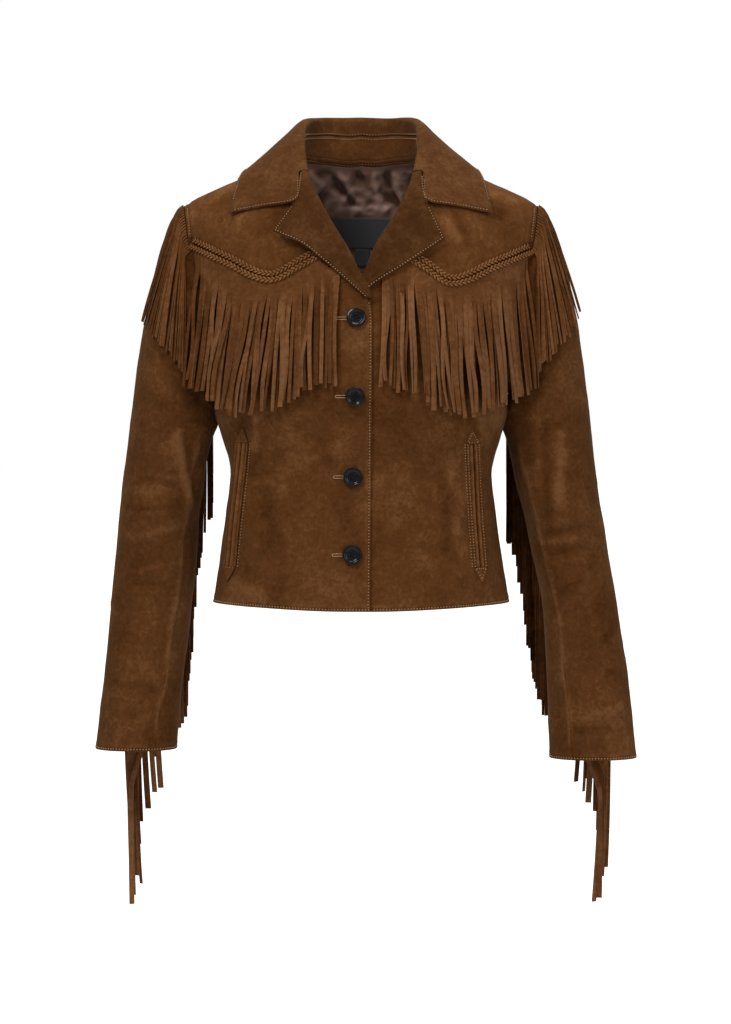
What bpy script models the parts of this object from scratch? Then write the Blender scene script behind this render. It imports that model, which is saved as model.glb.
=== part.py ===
"""Fringed suede jacket with a notched collar, pointed yokes and long hanging fringe."""

import math
from collections import namedtuple

import bpy
import numpy as np
from mathutils import Vector
from mathutils.bvhtree import BVHTree

# Leather and seams
WALL = 0.0016
COLLAR_WALL = 0.0018
STRAND_WALL = 0.0012
SEAM_GAP = 0.0005
GORGE_GAP = 0.0010
ARMHOLE_GAP = 0.0014
ON_TOP = 0.0010

# Body form: an oval section at each height, closed over by the shoulders
ROUND = 2.3
ARCH = 2.2
YOKE_BASE = -0.160
Body = namedtuple("Body", "z half front back")
BODY = [
    Body(-0.512, 0.1700, 0.121, 0.116),
    Body(-0.460, 0.1615, 0.116, 0.109),
    Body(-0.400, 0.1535, 0.110, 0.102),
    Body(-0.360, 0.1490, 0.107, 0.099),
    Body(-0.318, 0.1590, 0.117, 0.103),
    Body(-0.270, 0.1670, 0.128, 0.109),
    Body(-0.220, 0.1800, 0.127, 0.113),
    Body(-0.150, 0.1960, 0.115, 0.115),
    Body(-0.090, 0.2040, 0.112, 0.113),
    Body(-0.040, 0.2090, 0.112, 0.112),
    Body(0.040, 0.2140, 0.112, 0.112),
]
Shoulder = namedtuple("Shoulder", "x z")
SHOULDER = [
    Shoulder(0.000, 0.0300),
    Shoulder(0.035, 0.0200),
    Shoulder(0.070, 0.0000),
    Shoulder(0.127, -0.0220),
    Shoulder(0.184, -0.0460),
    Shoulder(0.200, -0.0560),
]
HEM_SIDE_Z = -0.506
HEM_FRONT_Z = -0.510
TIP_Z = -0.0560
PIT_Z = -0.2700
Armhole = namedtuple("Armhole", "z x")
ARMHOLE = [
    Armhole(PIT_Z, 0.1670),
    Armhole(-0.240, 0.1690),
    Armhole(-0.200, 0.1715),
    Armhole(-0.150, 0.1790),
    Armhole(-0.095, 0.1950),
    Armhole(TIP_Z, 0.2000),
]

# Neck opening
NECK_HALF = 0.0700
NECK_BACK = 0.0680
GORGE_Z = -0.0260
Edge = namedtuple("Edge", "z right left")
# Inner edge of each front from the hem to the side of the neck, as x toward the wearer's left
FRONT_EDGE = [
    Edge(HEM_FRONT_Z, 0.0100, -0.0200),
    Edge(-0.3600, 0.0112, -0.0200),
    Edge(-0.1900, 0.0124, -0.0190),
    Edge(-0.1640, 0.0100, -0.0130),
    Edge(-0.1480, 0.0010, -0.0010),
    Edge(-0.1310, -0.0090, 0.0090),
    Edge(-0.1070, -0.0215, 0.0215),
    Edge(-0.0800, -0.0380, 0.0380),
    Edge(-0.0580, -0.0500, 0.0500),
    Edge(-0.0360, -0.0600, 0.0600),
    Edge(-0.0170, -0.0650, 0.0650),
    Edge(0.0000, -0.0700, 0.0700),
]
UNDERLAP = 0.0034

# Pointed yoke seam of each side, x outward
Yoke = namedtuple("Yoke", "x right left")
FRONT_ROWS = [0, 0.09, 0.18, 0.27, 0.36, 0.45, 0.53, 0.61, 0.69, 0.77, 0.84, 0.88, 0.92, 0.96, 0.99, 1]
YOKE_SEAM = [
    Yoke(0.020, -0.0980, -0.0990),
    Yoke(0.070, -0.1270, -0.1270),
    Yoke(0.100, -0.1410, -0.1450),
    Yoke(0.150, -0.1200, -0.1250),
    Yoke(0.192, -0.0990, -0.1060),
]
BRAID_WIDTH = 0.0145
BRAID_WALL = 0.0016
STRIP_TOP = 0.0020

Fold = namedtuple("Fold", "x0 z0 x1 z1 width height")
FRONT_FOLDS = [
    Fold(-0.150, -0.255, -0.118, -0.330, 0.012, -0.0040),
    Fold(-0.128, -0.250, -0.108, -0.345, 0.014, 0.0045),
    Fold(0.122, -0.270, 0.140, -0.345, 0.012, 0.0060),
    Fold(0.146, -0.280, 0.150, -0.350, 0.010, -0.0050),
    Fold(-0.060, -0.400, -0.130, -0.500, 0.022, 0.0030),
    Fold(0.050, -0.380, 0.110, -0.500, 0.022, 0.0030),
    Fold(0.060, -0.030, 0.150, -0.095, 0.013, 0.0020),
    Fold(-0.060, -0.030, -0.150, -0.090, 0.013, 0.0020),
]
BACK_FOLDS = [
    Fold(-0.150, -0.260, -0.090, -0.360, 0.015, 0.0045),
    Fold(0.148, -0.255, 0.095, -0.350, 0.015, 0.0045),
    Fold(-0.080, -0.375, 0.075, -0.365, 0.014, -0.0040),
    Fold(0.060, -0.400, 0.110, -0.500, 0.024, 0.0035),
    Fold(-0.055, -0.405, -0.105, -0.500, 0.024, 0.0035),
    Fold(-0.130, -0.110, -0.060, -0.200, 0.020, 0.0030),
    Fold(0.130, -0.115, 0.060, -0.205, 0.020, 0.0030),
]

# Sleeves: oval sections below the head, x outward
HEAD_Z = -0.310
Arm = namedtuple("Arm", "z out fore half_x half_y")
ARM_RIGHT = [
    Arm(-0.671, 0.2542, -0.024, 0.0456, 0.0375),
    Arm(-0.620, 0.2498, -0.015, 0.0452, 0.0425),
    Arm(-0.550, 0.2427, -0.004, 0.0457, 0.0480),
    Arm(-0.460, 0.2340, 0.006, 0.0460, 0.0530),
    Arm(-0.365, 0.2250, 0.005, 0.0460, 0.0560),
    Arm(HEAD_Z, 0.2165, 0.003, 0.0475, 0.0580),
]
ARM_LEFT = [
    Arm(-0.681, 0.2621, -0.026, 0.0491, 0.0380),
    Arm(-0.594, 0.2574, -0.012, 0.0464, 0.0440),
    Arm(-0.495, 0.2464, 0.004, 0.0420, 0.0510),
    Arm(-0.440, 0.2360, 0.006, 0.0435, 0.0540),
    Arm(-0.365, 0.2220, 0.005, 0.0465, 0.0560),
    Arm(HEAD_Z, 0.2130, 0.003, 0.0490, 0.0580),
]
# Direction and length with which the sleeve head leaves the armhole; turn 0 is the shoulder tip, 0.25 the front
Leave = namedtuple("Leave", "turn out back down length")
LEAVE = [
    Leave(0.00, 0.90, 0.00, 0.44, 0.120),
    Leave(0.12, 0.86, -0.22, 0.45, 0.105),
    Leave(0.25, 0.80, -0.35, 0.50, 0.085),
    Leave(0.40, 0.70, -0.20, 0.68, 0.050),
    Leave(0.50, 0.80, 0.00, 0.60, 0.022),
    Leave(0.60, 0.70, 0.20, 0.68, 0.050),
    Leave(0.75, 0.80, 0.38, 0.45, 0.090),
    Leave(0.88, 0.86, 0.22, 0.45, 0.105),
    Leave(1.00, 0.90, 0.00, 0.44, 0.120),
]
ARRIVE = 0.200
Seam = namedtuple("Seam", "reach front back")
# Sleeve seams as turns round the sleeve; reach 0 is the armhole, 1 the head's end, 2 the cuff
SLEEVE_SEAM = [
    Seam(0.0, 0.420, 0.590),
    Seam(1.0, 0.410, 0.605),
    Seam(1.4, 0.392, 0.650),
    Seam(1.8, 0.340, 0.705),
    Seam(2.0, 0.330, 0.742),
]
Crease = namedtuple("Crease", "turn0 reach0 turn1 reach1 width height")
ARM_FOLDS = [
    Crease(0.10, 1.30, 0.45, 1.18, 0.060, 0.050),
    Crease(0.08, 1.52, 0.42, 1.40, 0.060, 0.045),
    Crease(0.15, 1.42, 0.45, 1.30, 0.050, -0.050),
    Crease(0.60, 1.45, 0.90, 1.35, 0.070, 0.040),
    Crease(0.12, 1.70, 0.40, 1.62, 0.050, 0.030),
    Crease(0.55, 1.20, 0.85, 1.12, 0.060, -0.040),
]

# Collar, from the centre of the back round to the gorge; turn 0 is the shoulder line, 1 the back, -1 the front
Collar = namedtuple("Collar", "w roll_x roll_y roll_z edge_x edge_turn lift stand soft bulge")
COLLAR = [
    Collar(0.00, 0.0000, 0.0810, 0.0515, 0.0000, 0.450, 0.0070, 0.030, 0.0060, 0.004),
    Collar(0.20, 0.0230, 0.0780, 0.0510, 0.0450, 0.430, 0.0070, 0.030, 0.0060, 0.004),
    Collar(0.40, 0.0430, 0.0650, 0.0500, 0.0870, 0.330, 0.0070, 0.029, 0.0058, 0.003),
    Collar(0.60, 0.0570, 0.0400, 0.0465, 0.1150, 0.150, 0.0070, 0.026, 0.0055, 0.002),
    Collar(0.75, 0.0635, 0.0060, 0.0380, 0.1285, 0.000, 0.0068, 0.020, 0.0050, 0.001),
    Collar(0.88, 0.0635, -0.0430, 0.0100, 0.1365, -0.260, 0.0072, 0.008, 0.0042, 0.002),
    Collar(1.00, 0.0590, -0.0740, -0.0240, 0.1447, -0.526, 0.0072, 0.002, 0.0036, 0.002),
]
NOTCH_X = 0.0700
NOTCH_Z = -0.0585

# Lapels: rows from the lowest button's break up to the gorge; x outward, fold then outer edge
Lapel = namedtuple("Lapel", "v fold_z edge_x edge_z lift")
LAPEL_RIGHT = [
    Lapel(0.00, -0.1600, -0.0010, -0.1596, 0.0056),
    Lapel(0.15, -0.1450, 0.0150, -0.1460, 0.0066),
    Lapel(0.35, -0.1160, 0.0380, -0.1265, 0.0075),
    Lapel(0.60, -0.0830, 0.0640, -0.1060, 0.0078),
    Lapel(0.85, -0.0500, 0.0860, -0.0970, 0.0078),
    Lapel(1.00, GORGE_Z, 0.0946, -0.0932, 0.0078),
]
LAPEL_LEFT = [
    Lapel(0.00, -0.1330, 0.0130, -0.1500, 0.0060),
    Lapel(0.15, -0.1225, 0.0250, -0.1425, 0.0070),
    Lapel(0.35, -0.1030, 0.0440, -0.1310, 0.0076),
    Lapel(0.60, -0.0775, 0.0670, -0.1160, 0.0078),
    Lapel(0.85, -0.0480, 0.0850, -0.1040, 0.0078),
    Lapel(1.00, GORGE_Z, 0.0906, -0.0997, 0.0078),
]
Turn = namedtuple("Turn", "d lift")
# Section across a lapel's turned edge, from the front's edge to the flat of the lapel
LAPEL_TURN = [
    Turn(-0.0010, -0.25),
    Turn(-0.0044, -0.12),
    Turn(-0.0056, 0.30),
    Turn(-0.0036, 0.70),
    Turn(0.0010, 0.93),
]

# Fringe: root and tip of the strands under each yoke, x outward
Strand = namedtuple("Strand", "order root_x root_z tip_x tip_z")
YOKE_STRANDS_RIGHT = [
    Strand(0.00, 0.1840, -0.1262, 0.1985, -0.2575),
    Strand(0.10, 0.1680, -0.1350, 0.1820, -0.2664),
    Strand(0.40, 0.1200, -0.1590, 0.1400, -0.2939),
    Strand(0.64, 0.0820, -0.1520, 0.0900, -0.2830),
    Strand(0.80, 0.0565, -0.1410, 0.0600, -0.2650),
    Strand(1.00, 0.0245, -0.1270, 0.0245, -0.2596),
]
YOKE_STRANDS_LEFT = [
    Strand(0.00, 0.1850, -0.1300, 0.1979, -0.2597),
    Strand(0.10, 0.1690, -0.1385, 0.1800, -0.2730),
    Strand(0.40, 0.1210, -0.1600, 0.1330, -0.2926),
    Strand(0.64, 0.0830, -0.1537, 0.0930, -0.2880),
    Strand(0.80, 0.0575, -0.1430, 0.0630, -0.2700),
    Strand(1.00, 0.0255, -0.1300, 0.0255, -0.2596),
]
YOKE_COUNT = 28
YOKE_STRAND = 0.0047
SHOULDER_COUNT = 12
SHOULDER_STRAND = 0.0044
SHOULDER_FIRST = 0.006
SHOULDER_PITCH = 0.0057
SLEEVE_COUNT = 30
SLEEVE_STRAND = 0.0056
SLEEVE_STRIP = 0.0050
Hang = namedtuple("Hang", "fall off swing")
# A sleeve strand's way down from its root: fall, distance off the seam and share of its quarter turn
SLEEVE_HANG = [
    Hang(0.006, 0.0050, 0.5),
    Hang(0.022, 0.0095, 1.0),
    Hang(0.100, 0.0190, 1.0),
    Hang(0.186, 0.0280, 1.0),
]
Rest = namedtuple("Rest", "run lift")
# A shoulder strand's way down the sleeve head: distance from the seam and height off the leather
SHOULDER_REST = [
    Rest(0.0020, 0.0010),
    Rest(0.0085, 0.0010),
    Rest(0.0300, 0.0016),
    Rest(0.0750, 0.0020),
    Rest(0.1420, 0.0020),
]

# Pockets, buttons and what shows inside the neck
Welt = namedtuple("Welt", "z x half")
POCKET_RIGHT = [
    Welt(-0.4800, 0.1485, 0.0006),
    Welt(-0.4600, 0.1465, 0.0072),
    Welt(-0.4200, 0.1425, 0.0070),
    Welt(-0.3720, 0.1370, 0.0070),
    Welt(-0.3280, 0.1325, 0.0072),
    Welt(-0.3080, 0.1306, 0.0006),
]
POCKET_LEFT = [
    Welt(-0.4800, 0.1345, 0.0006),
    Welt(-0.4610, 0.1325, 0.0078),
    Welt(-0.4200, 0.1295, 0.0076),
    Welt(-0.3720, 0.1265, 0.0076),
    Welt(-0.3280, 0.1245, 0.0078),
    Welt(-0.3090, 0.1230, 0.0006),
]
Button = namedtuple("Button", "x z")
BUTTONS = [
    Button(-0.0053, -0.1869),
    Button(-0.0064, -0.2728),
    Button(-0.0086, -0.3620),
    Button(-0.0098, -0.4479),
]
BUTTON_RADIUS = 0.0108
LINING_HALF = 0.100
LINING_LOW = -0.235
LABEL_HALF = 0.041
LABEL_TOP = -0.0633
LABEL_LOW = -0.0996
TAB_HALF = 0.0085
TAB_LOW = -0.1200


def ease(table, column, at):
    """Smooth reading of a column against the table's first column."""
    keys = np.array([row[0] for row in table], float)
    values = np.array([getattr(row, column) for row in table], float)
    step = np.diff(keys)
    slope = np.diff(values) / step
    tangent = np.concatenate([slope[:1], np.zeros(len(slope) - 1), slope[-1:]])
    for i in range(1, len(slope)):
        if slope[i - 1] * slope[i] > 0:
            tangent[i] = 2 * slope[i - 1] * slope[i] / (slope[i - 1] + slope[i])
    at = np.clip(np.asarray(at, float), keys[0], keys[-1])
    i = np.clip(np.searchsorted(keys, at, side="right") - 1, 0, len(step) - 1)
    s = (at - keys[i]) / step[i]
    start = (2 * s**3 - 3 * s**2 + 1) * values[i] + (s**3 - 2 * s**2 + s) * step[i] * tangent[i]
    end = (3 * s**2 - 2 * s**3) * values[i + 1] + (s**3 - s**2) * step[i] * tangent[i + 1]
    return start + end


def unit(vector):
    """Vectors scaled to length one along their last axis."""
    return vector / np.maximum(np.linalg.norm(vector, axis=-1, keepdims=True), 1e-12)


def mix(a, b, share):
    """Point a share of the way from a to b."""
    return a + (b - a) * share


def ramp(value, low, high):
    """Soft step from 0 at low to 1 at high."""
    s = np.clip((value - low) / (high - low), 0, 1)
    return s * s * (3 - 2 * s)


def ridges(x, z, rows):
    """Height of soft folds lying along lines."""
    total = 0.0
    for x0, z0, x1, z1, width, height in rows:
        run = (x1 - x0) ** 2 + (z1 - z0) ** 2
        share = np.clip(((x - x0) * (x1 - x0) + (z - z0) * (z1 - z0)) / run, 0, 1)
        away = (x - x0 - share * (x1 - x0)) ** 2 + (z - z0 - share * (z1 - z0)) ** 2
        total = total + height * np.exp(-away / width**2)
    return total


def body_y(x, z, side):
    """Depth of the body's outer face; side -1 is the front and 1 the back."""
    half = ease(BODY, "half", z)
    depth = ease(BODY, "front" if side < 0 else "back", z)
    depth = depth + ridges(x, z, FRONT_FOLDS if side < 0 else BACK_FOLDS)
    level = (1 - np.clip(np.abs(x) / half, 0, 1) ** ROUND) ** (1 / ROUND)
    crown = ease(SHOULDER, "z", np.abs(x))
    rise = np.clip((z - YOKE_BASE) / (crown - YOKE_BASE), 0, 1)
    close = (1 - rise**ARCH) ** (1 / ARCH)
    return side * (SEAM_GAP / 2 + depth * level * close)


def body_normal(x, z, side):
    """Outward direction of the body's outer face."""
    h = 0.0004
    x = np.clip(x, -ease(BODY, "half", z) + 2 * h, ease(BODY, "half", z) - 2 * h)
    z = np.minimum(z, ease(SHOULDER, "z", np.abs(x)) - 2 * h)
    dx = (body_y(x + h, z, side) - body_y(x - h, z, side)) / (2 * h)
    dz = (body_y(x, z + h, side) - body_y(x, z - h, side)) / (2 * h)
    return unit(np.stack([-side * dx, side * np.ones_like(dx), -side * dz], axis=-1))


def on_body(x, z, side, lift=0.0):
    """Points on the body's outer face, moved out by lift."""
    x, z = np.broadcast_arrays(np.asarray(x, float), np.asarray(z, float))
    point = np.stack([x, body_y(x, z, side), z], axis=-1)
    return point + np.asarray(lift)[..., None] * body_normal(x, z, side)


def underlap(x, z):
    """How far the left front sinks behind the right one."""
    edge = ease(FRONT_EDGE, "right", z)
    return UNDERLAP * (1 - ramp(x - edge, 0.008, 0.034))


def yoke_line(x, hand):
    """Height of the yoke seam at a distance out from the middle."""
    return ease(YOKE_SEAM, "right" if hand < 0 else "left", np.abs(x))


def armhole_x(z):
    """Distance out of the armhole seam, or of the side seam under it."""
    return np.where(z < PIT_Z, ease(BODY, "half", z), ease(ARMHOLE, "x", z))


def steps(count, first=True, last=True):
    """Even shares from 0 to 1, with a narrow step beside a seam."""
    shares = np.linspace(0, 1, count - int(first) - int(last))
    if first:
        shares = np.insert(shares, 1, shares[1] * 0.10)
    if last:
        shares = np.insert(shares, -1, 1 - (1 - shares[-2]) * 0.10)
    return shares


def settle(shares, inner, outer, height):
    """Places of a row's points whose heights follow a line across the body."""
    x = mix(inner(height(0.0)), outer(height(0.15)), shares)
    for _ in range(30):
        z = height(x)
        half = ease(BODY, "half", z)
        start = np.arcsin(np.clip(inner(z) / half, -1, 1))
        end = np.arcsin(np.clip(outer(z) / half, -1, 1))
        x = half * np.sin(mix(start, end, shares))
    return x, height(x)


def front_grid(hand, columns):
    """Lower front, from the hem to the yoke seam; hand -1 is the wearer's right."""
    name = "right" if hand < 0 else "left"

    def inner(z):
        return hand * ease(FRONT_EDGE, name, z)

    grid = []
    for share in FRONT_ROWS:
        def height(x, share=share):
            hem = HEM_FRONT_Z + (HEM_SIDE_Z - HEM_FRONT_Z) * ramp(np.abs(x), 0.02, 0.16)
            return mix(hem, yoke_line(x, hand) - SEAM_GAP / 2, share)

        x, z = settle(steps(columns), inner, armhole_x, height)
        lift = -underlap(x, z) if hand > 0 else np.zeros_like(x)
        grid.append(on_body(hand * x, z, -1, lift))
    return np.array(grid)


def yoke_grid(hand, columns, rows):
    """Front yoke, from its pointed seam to the shoulder seam."""
    name = "right" if hand < 0 else "left"

    def inner(z):
        return hand * ease(FRONT_EDGE, name, z)

    grid = []
    for share in np.sin(steps(rows) * math.pi / 2):
        def height(x, share=share):
            return mix(yoke_line(x, hand) + SEAM_GAP / 2, ease(SHOULDER, "z", np.abs(x)), share)

        x, z = settle(steps(columns), inner, armhole_x, height)
        grid.append(on_body(hand * x, z, -1))
    return np.array(grid)


def neck_height(x):
    """Height of the back neck edge."""
    depth = NECK_BACK * np.sqrt(np.clip(1 - (x / NECK_HALF) ** 2, 0, 1))
    crown = ease(SHOULDER, "z", np.abs(x))
    z = crown
    for _ in range(20):
        out = np.clip(np.abs(x) / ease(BODY, "half", z), 0, 1)
        full = ease(BODY, "back", z) * (1 - out**ROUND) ** (1 / ROUND) + 1e-9
        rise = (1 - np.clip(depth / full, 0, 1) ** ARCH) ** (1 / ARCH)
        z = YOKE_BASE + (crown - YOKE_BASE) * rise
    return z


def back_grid(columns, low_rows, high_rows):
    """Back, from the hem to the shoulder seams and the neck."""
    grid = []
    shares = [(s, 0.0) for s in np.linspace(0, 1, low_rows)]
    shares += [(1.0, s) for s in np.sin(steps(high_rows + 1, first=False)[1:] * math.pi / 2)]
    for low, high in shares:
        def height(x, low=low, high=high):
            top = np.where(np.abs(x) < NECK_HALF, neck_height(x), ease(SHOULDER, "z", np.abs(x)))
            return mix(mix(HEM_SIDE_Z, YOKE_BASE, low), top, high)

        x, z = settle(steps(columns), lambda z: -armhole_x(z), armhole_x, height)
        grid.append(on_body(x, z, 1))
    return np.array(grid)


def armhole(turn):
    """Point of the left armhole seam and the way off the panel there."""
    turn = np.mod(turn, 1.0)
    front = turn <= 0.5

    def place(t):
        reach = 1 - np.abs(1 - 2 * np.mod(t, 1.0))
        z = TIP_Z + (PIT_Z - TIP_Z) * (1 - np.cos(math.pi * reach)) / 2
        x = ease(ARMHOLE, "x", z)
        y = np.where(np.mod(t, 1.0) <= 0.5, body_y(x, z, -1), body_y(x, z, 1))
        return np.stack([x, y, z], axis=-1)

    point = place(turn)
    ahead = place(turn + 0.004)
    behind = place(turn - 0.004)
    tangent = unit(ahead - behind)
    x, z = point[..., 0], point[..., 2]
    normal = np.where(front[..., None], body_normal(x, z, -1), body_normal(x, z, 1))
    away = unit(np.cross(normal, tangent))
    return point, away


def arm_ring(turn, z, table):
    """Oval section of a sleeve at a height."""
    angle = 2 * math.pi * turn
    reach = 1 + (HEAD_Z - z) / (HEAD_Z - table[0].z)
    swell = 1 + ridges(np.mod(turn, 1.0), reach, ARM_FOLDS)
    cx, cy = np.cos(angle), np.sin(angle)
    x = ease(table, "out", z) + swell * ease(table, "half_x", z) * np.sign(cx) * np.abs(cx) ** 0.93
    y = ease(table, "fore", z) - swell * ease(table, "half_y", z) * np.sign(cy) * np.abs(cy) ** 0.93
    return np.stack([x, y, z * np.ones_like(x)], axis=-1)


def sleeve(turn, reach, hand):
    """Point of a sleeve's outer face."""
    turn, reach = np.broadcast_arrays(np.asarray(turn, float), np.asarray(reach, float))
    table = ARM_RIGHT if hand < 0 else ARM_LEFT
    start, away = armhole(turn)
    start = start + away * ARMHOLE_GAP
    end = arm_ring(turn, np.full(turn.shape, HEAD_Z), table)
    drop = arm_ring(turn, np.full(turn.shape, HEAD_Z - 0.01), table) - end
    around = np.mod(turn, 1.0)
    leave = unit(
        np.stack([ease(LEAVE, "out", around), ease(LEAVE, "back", around), -ease(LEAVE, "down", around)], -1)
    )
    length = ease(LEAVE, "length", around)[..., None]
    arrive = unit(drop) * (ARRIVE * length / LEAVE[0].length)
    s = np.clip(reach, 0, 1)[..., None]
    head = (2 * s**3 - 3 * s**2 + 1) * start + (s**3 - 2 * s**2 + s) * leave * length
    head = head + (3 * s**2 - 2 * s**3) * end + (s**3 - s**2) * arrive
    z = mix(HEAD_Z, table[0].z, np.clip(reach - 1, 0, 1))
    low = arm_ring(turn, z, table)
    point = np.where(reach[..., None] < 1, head, low)
    return point * np.array([hand, 1, 1])


def sleeve_normal(turn, reach, hand):
    """Outward direction of a sleeve's face."""
    h = 0.003
    across = sleeve(turn + h, reach, hand) - sleeve(turn - h, reach, hand)
    down = sleeve(turn, np.minimum(reach + h, 2), hand) - sleeve(turn, np.maximum(reach - h, 0), hand)
    return unit(hand * np.cross(across, down))


def sleeve_grid(hand, part, columns, head_rows, low_rows):
    """Upper or under sleeve between its two seams."""
    reaches = np.concatenate([np.linspace(0, 1, head_rows)[:-1], np.linspace(1, 2, low_rows)])
    grid = []
    for reach in reaches:
        front = float(ease(SLEEVE_SEAM, "front", reach))
        back = float(ease(SLEEVE_SEAM, "back", reach))
        gap = SEAM_GAP / 0.33 * 0.6
        if part == "upper":
            turns = mix(back - 1 + gap, front - gap, steps(columns))
        else:
            turns = mix(front + gap, back - gap, steps(columns))
        grid.append(sleeve(turns, np.full(columns, reach), hand))
    return np.array(grid)


def neck_seam(w):
    """Left half of the neck seam, from the back round to the gorge."""
    if w <= 0.75:
        angle = w / 0.75 * math.pi / 2
        x = NECK_HALF * math.sin(angle)
        z = float(neck_height(np.array(x)))
        return np.array([x, float(body_y(np.array(x), np.array(z), 1)) * (w < 0.75), z])
    z = mix(0.0, GORGE_Z, (w - 0.75) / 0.25)
    x = float(ease(FRONT_EDGE, "left", z))
    return np.array([x, float(body_y(np.array(x), np.array(z), -1)), z])


def over_shoulder(x, turn, lift):
    """Point above the body found by turning over the shoulder line."""
    crown = float(ease(SHOULDER, "z", abs(x)))
    rise = math.cos(min(abs(turn), 1) * math.pi / 2)
    z = YOKE_BASE + (crown - YOKE_BASE) * min(rise, 0.9999)
    side = 1 if turn > 0 else -1
    point = on_body(np.array(x), np.array(z), side, np.array(lift))
    if abs(turn) < 0.12:
        top = np.array([x, point[1], crown + lift])
        point = mix(top, point, abs(turn) / 0.12)
    return point


def clear_body(point, lift):
    """Pushes a point off the body where it would come nearer than lift."""
    x, y, z = point
    if z > float(ease(SHOULDER, "z", abs(x))) + lift:
        return point
    side = 1 if y > 0 else -1
    level = min(z, float(ease(SHOULDER, "z", abs(x))) - 0.001)
    least = on_body(np.array(x), np.array(level), side, np.array(lift))[1]
    if side * y < side * least:
        return np.array([x, least, z])
    return point


def turned(fold, along, lift):
    """Plan places and lifts of the turned edge of a lapel."""
    outward = np.array([along[1], -along[0]])
    size = lift / 0.0078
    plan = []
    for d, up in LAPEL_TURN:
        plan.append((*(fold + outward * d * size), up * lift if up > 0 else up * 0.0072 * size))
    return plan


def gorge_section(edge):
    """Front end of the collar, beside the top of the lapel."""
    fold = np.array([float(ease(FRONT_EDGE, "left", GORGE_Z)), GORGE_Z])
    along = unit(np.array([0.25, 0.97]))
    plan = turned(fold + along * GORGE_GAP, along, 0.0078)
    plan.append((NOTCH_X, NOTCH_Z + GORGE_GAP, 0.0078))
    places = [on_body(np.array(x), np.array(z), -1, np.array(up)) for x, z, up in plan]
    first, second, third, fourth, fifth, notch = places
    half = clear_body(mix(notch, edge, 0.5), 0.0062)
    row = [first, mix(first, second, 0.5), second, third, fourth, fifth]
    return row + [clear_body(mix(fifth, notch, 0.5), 0.0070), notch, half, edge]


def collar_section(w):
    """Points across the left half of the collar at w, from the stand over the roll to the edge."""
    value = {name: float(ease(COLLAR, name, w)) for name in Collar._fields}
    seam = neck_seam(w)
    roll = np.array([value["roll_x"], value["roll_y"], value["roll_z"]])
    edge = over_shoulder(value["edge_x"], value["edge_turn"], value["lift"])
    inward = np.array([-seam[0], -seam[1], 0.0])
    foot = seam + unit(inward) * 0.0036 + np.array([0, 0, 0.0022])
    low = foot + unit(roll - foot) * value["stand"]
    tip = unit(roll - (low + edge) / 2)
    face = body_normal(np.array(seam[0]), np.array(seam[2]), -1)
    out = mix(unit(-inward), face, ramp(w, 0.65, 0.95))
    out = unit(out - tip * float(np.dot(out, tip)))
    centre = roll - tip * value["soft"]
    inside = centre - out * value["soft"]
    outside = centre + out * value["soft"]
    slant = tip * math.cos(0.8) * value["soft"]
    lean = out * math.sin(0.8) * value["soft"]
    points = [low, mix(low, inside, 0.5), inside, centre + slant - lean, centre + slant + lean, outside]
    for share in (0.25, 0.5, 0.75, 1.0):
        flat = mix(outside, edge, share)
        flat = flat + out * value["bulge"] * math.sin(share * math.pi)
        points.append(flat)
    points[6:] = [clear_body(p, 0.0058) for p in points[6:]]
    bend = ramp(w, 0.84, 1.0)
    if bend > 0:
        points = [mix(p, q, bend) for p, q in zip(points, gorge_section(edge))]
    return np.array(points), foot


def collar_grid(count):
    """The whole collar, from the right gorge round the back to the left one."""
    shares = np.concatenate([np.linspace(0, 0.75, count)[:-1], np.array([0.75, 0.80, 0.85, 0.90, 0.95, 1.0])])
    left = [collar_section(w)[0] for w in shares]
    right = [points * np.array([-1, 1, 1]) for points in left[:0:-1]]
    return np.array(right + left)


def stand_grid(count):
    """The collar stand, inside the neck."""
    left = []
    for w in np.linspace(0, 0.93, count):
        points, foot = collar_section(w)
        top = points[0]
        step = unit(foot - top)
        top = top + step * SEAM_GAP * 2
        left.append([foot, mix(foot, top, 0.5), top])
    right = [[p * np.array([-1, 1, 1]) for p in row] for row in left[:0:-1]]
    return np.array(right + left)


def lapel_grid(hand, rows, flat_columns):
    """A lapel, turned back over the front."""
    table = LAPEL_RIGHT if hand < 0 else LAPEL_LEFT
    name = "right" if hand < 0 else "left"

    def fold_at(v):
        z = float(ease(table, "fold_z", v))
        return np.array([hand * float(ease(FRONT_EDGE, name, z)), z])

    grid = []
    for v in np.linspace(0, 1, rows):
        fold = fold_at(v)
        edge = np.array([float(ease(table, "edge_x", v)), float(ease(table, "edge_z", v))])
        lift = float(ease(table, "lift", v))
        along = unit(fold_at(min(v + 0.03, 1)) - fold_at(max(v - 0.03, 0)))
        plan = turned(fold, along, lift)
        start = np.array(plan[-1][:2])
        for share in np.linspace(0, 1, flat_columns + 1)[1:]:
            place = mix(start, edge, share)
            bow = np.array([NOTCH_X, NOTCH_Z]) - mix(start, edge, 0.5)
            place = place + bow * (1 - abs(share - 0.5) * 2) * ramp(v, 0.80, 1.0)
            rise = lift * (1.0 - 0.14 * share**2)
            plan.append((*place, rise))
        x, z, up = np.array(plan).T
        sink = underlap(x, z) if hand > 0 else 0.0
        grid.append(on_body(hand * x, z, -1, up - sink))
    return np.array(grid)


def material(name, color, roughness):
    """Plain material of a part."""
    result = bpy.data.materials.new(name)
    result.use_nodes = True
    shader = result.node_tree.nodes["Principled BSDF"]
    shader.inputs["Base Color"].default_value = (*color, 1.0)
    shader.inputs["Roughness"].default_value = roughness
    return result


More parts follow.
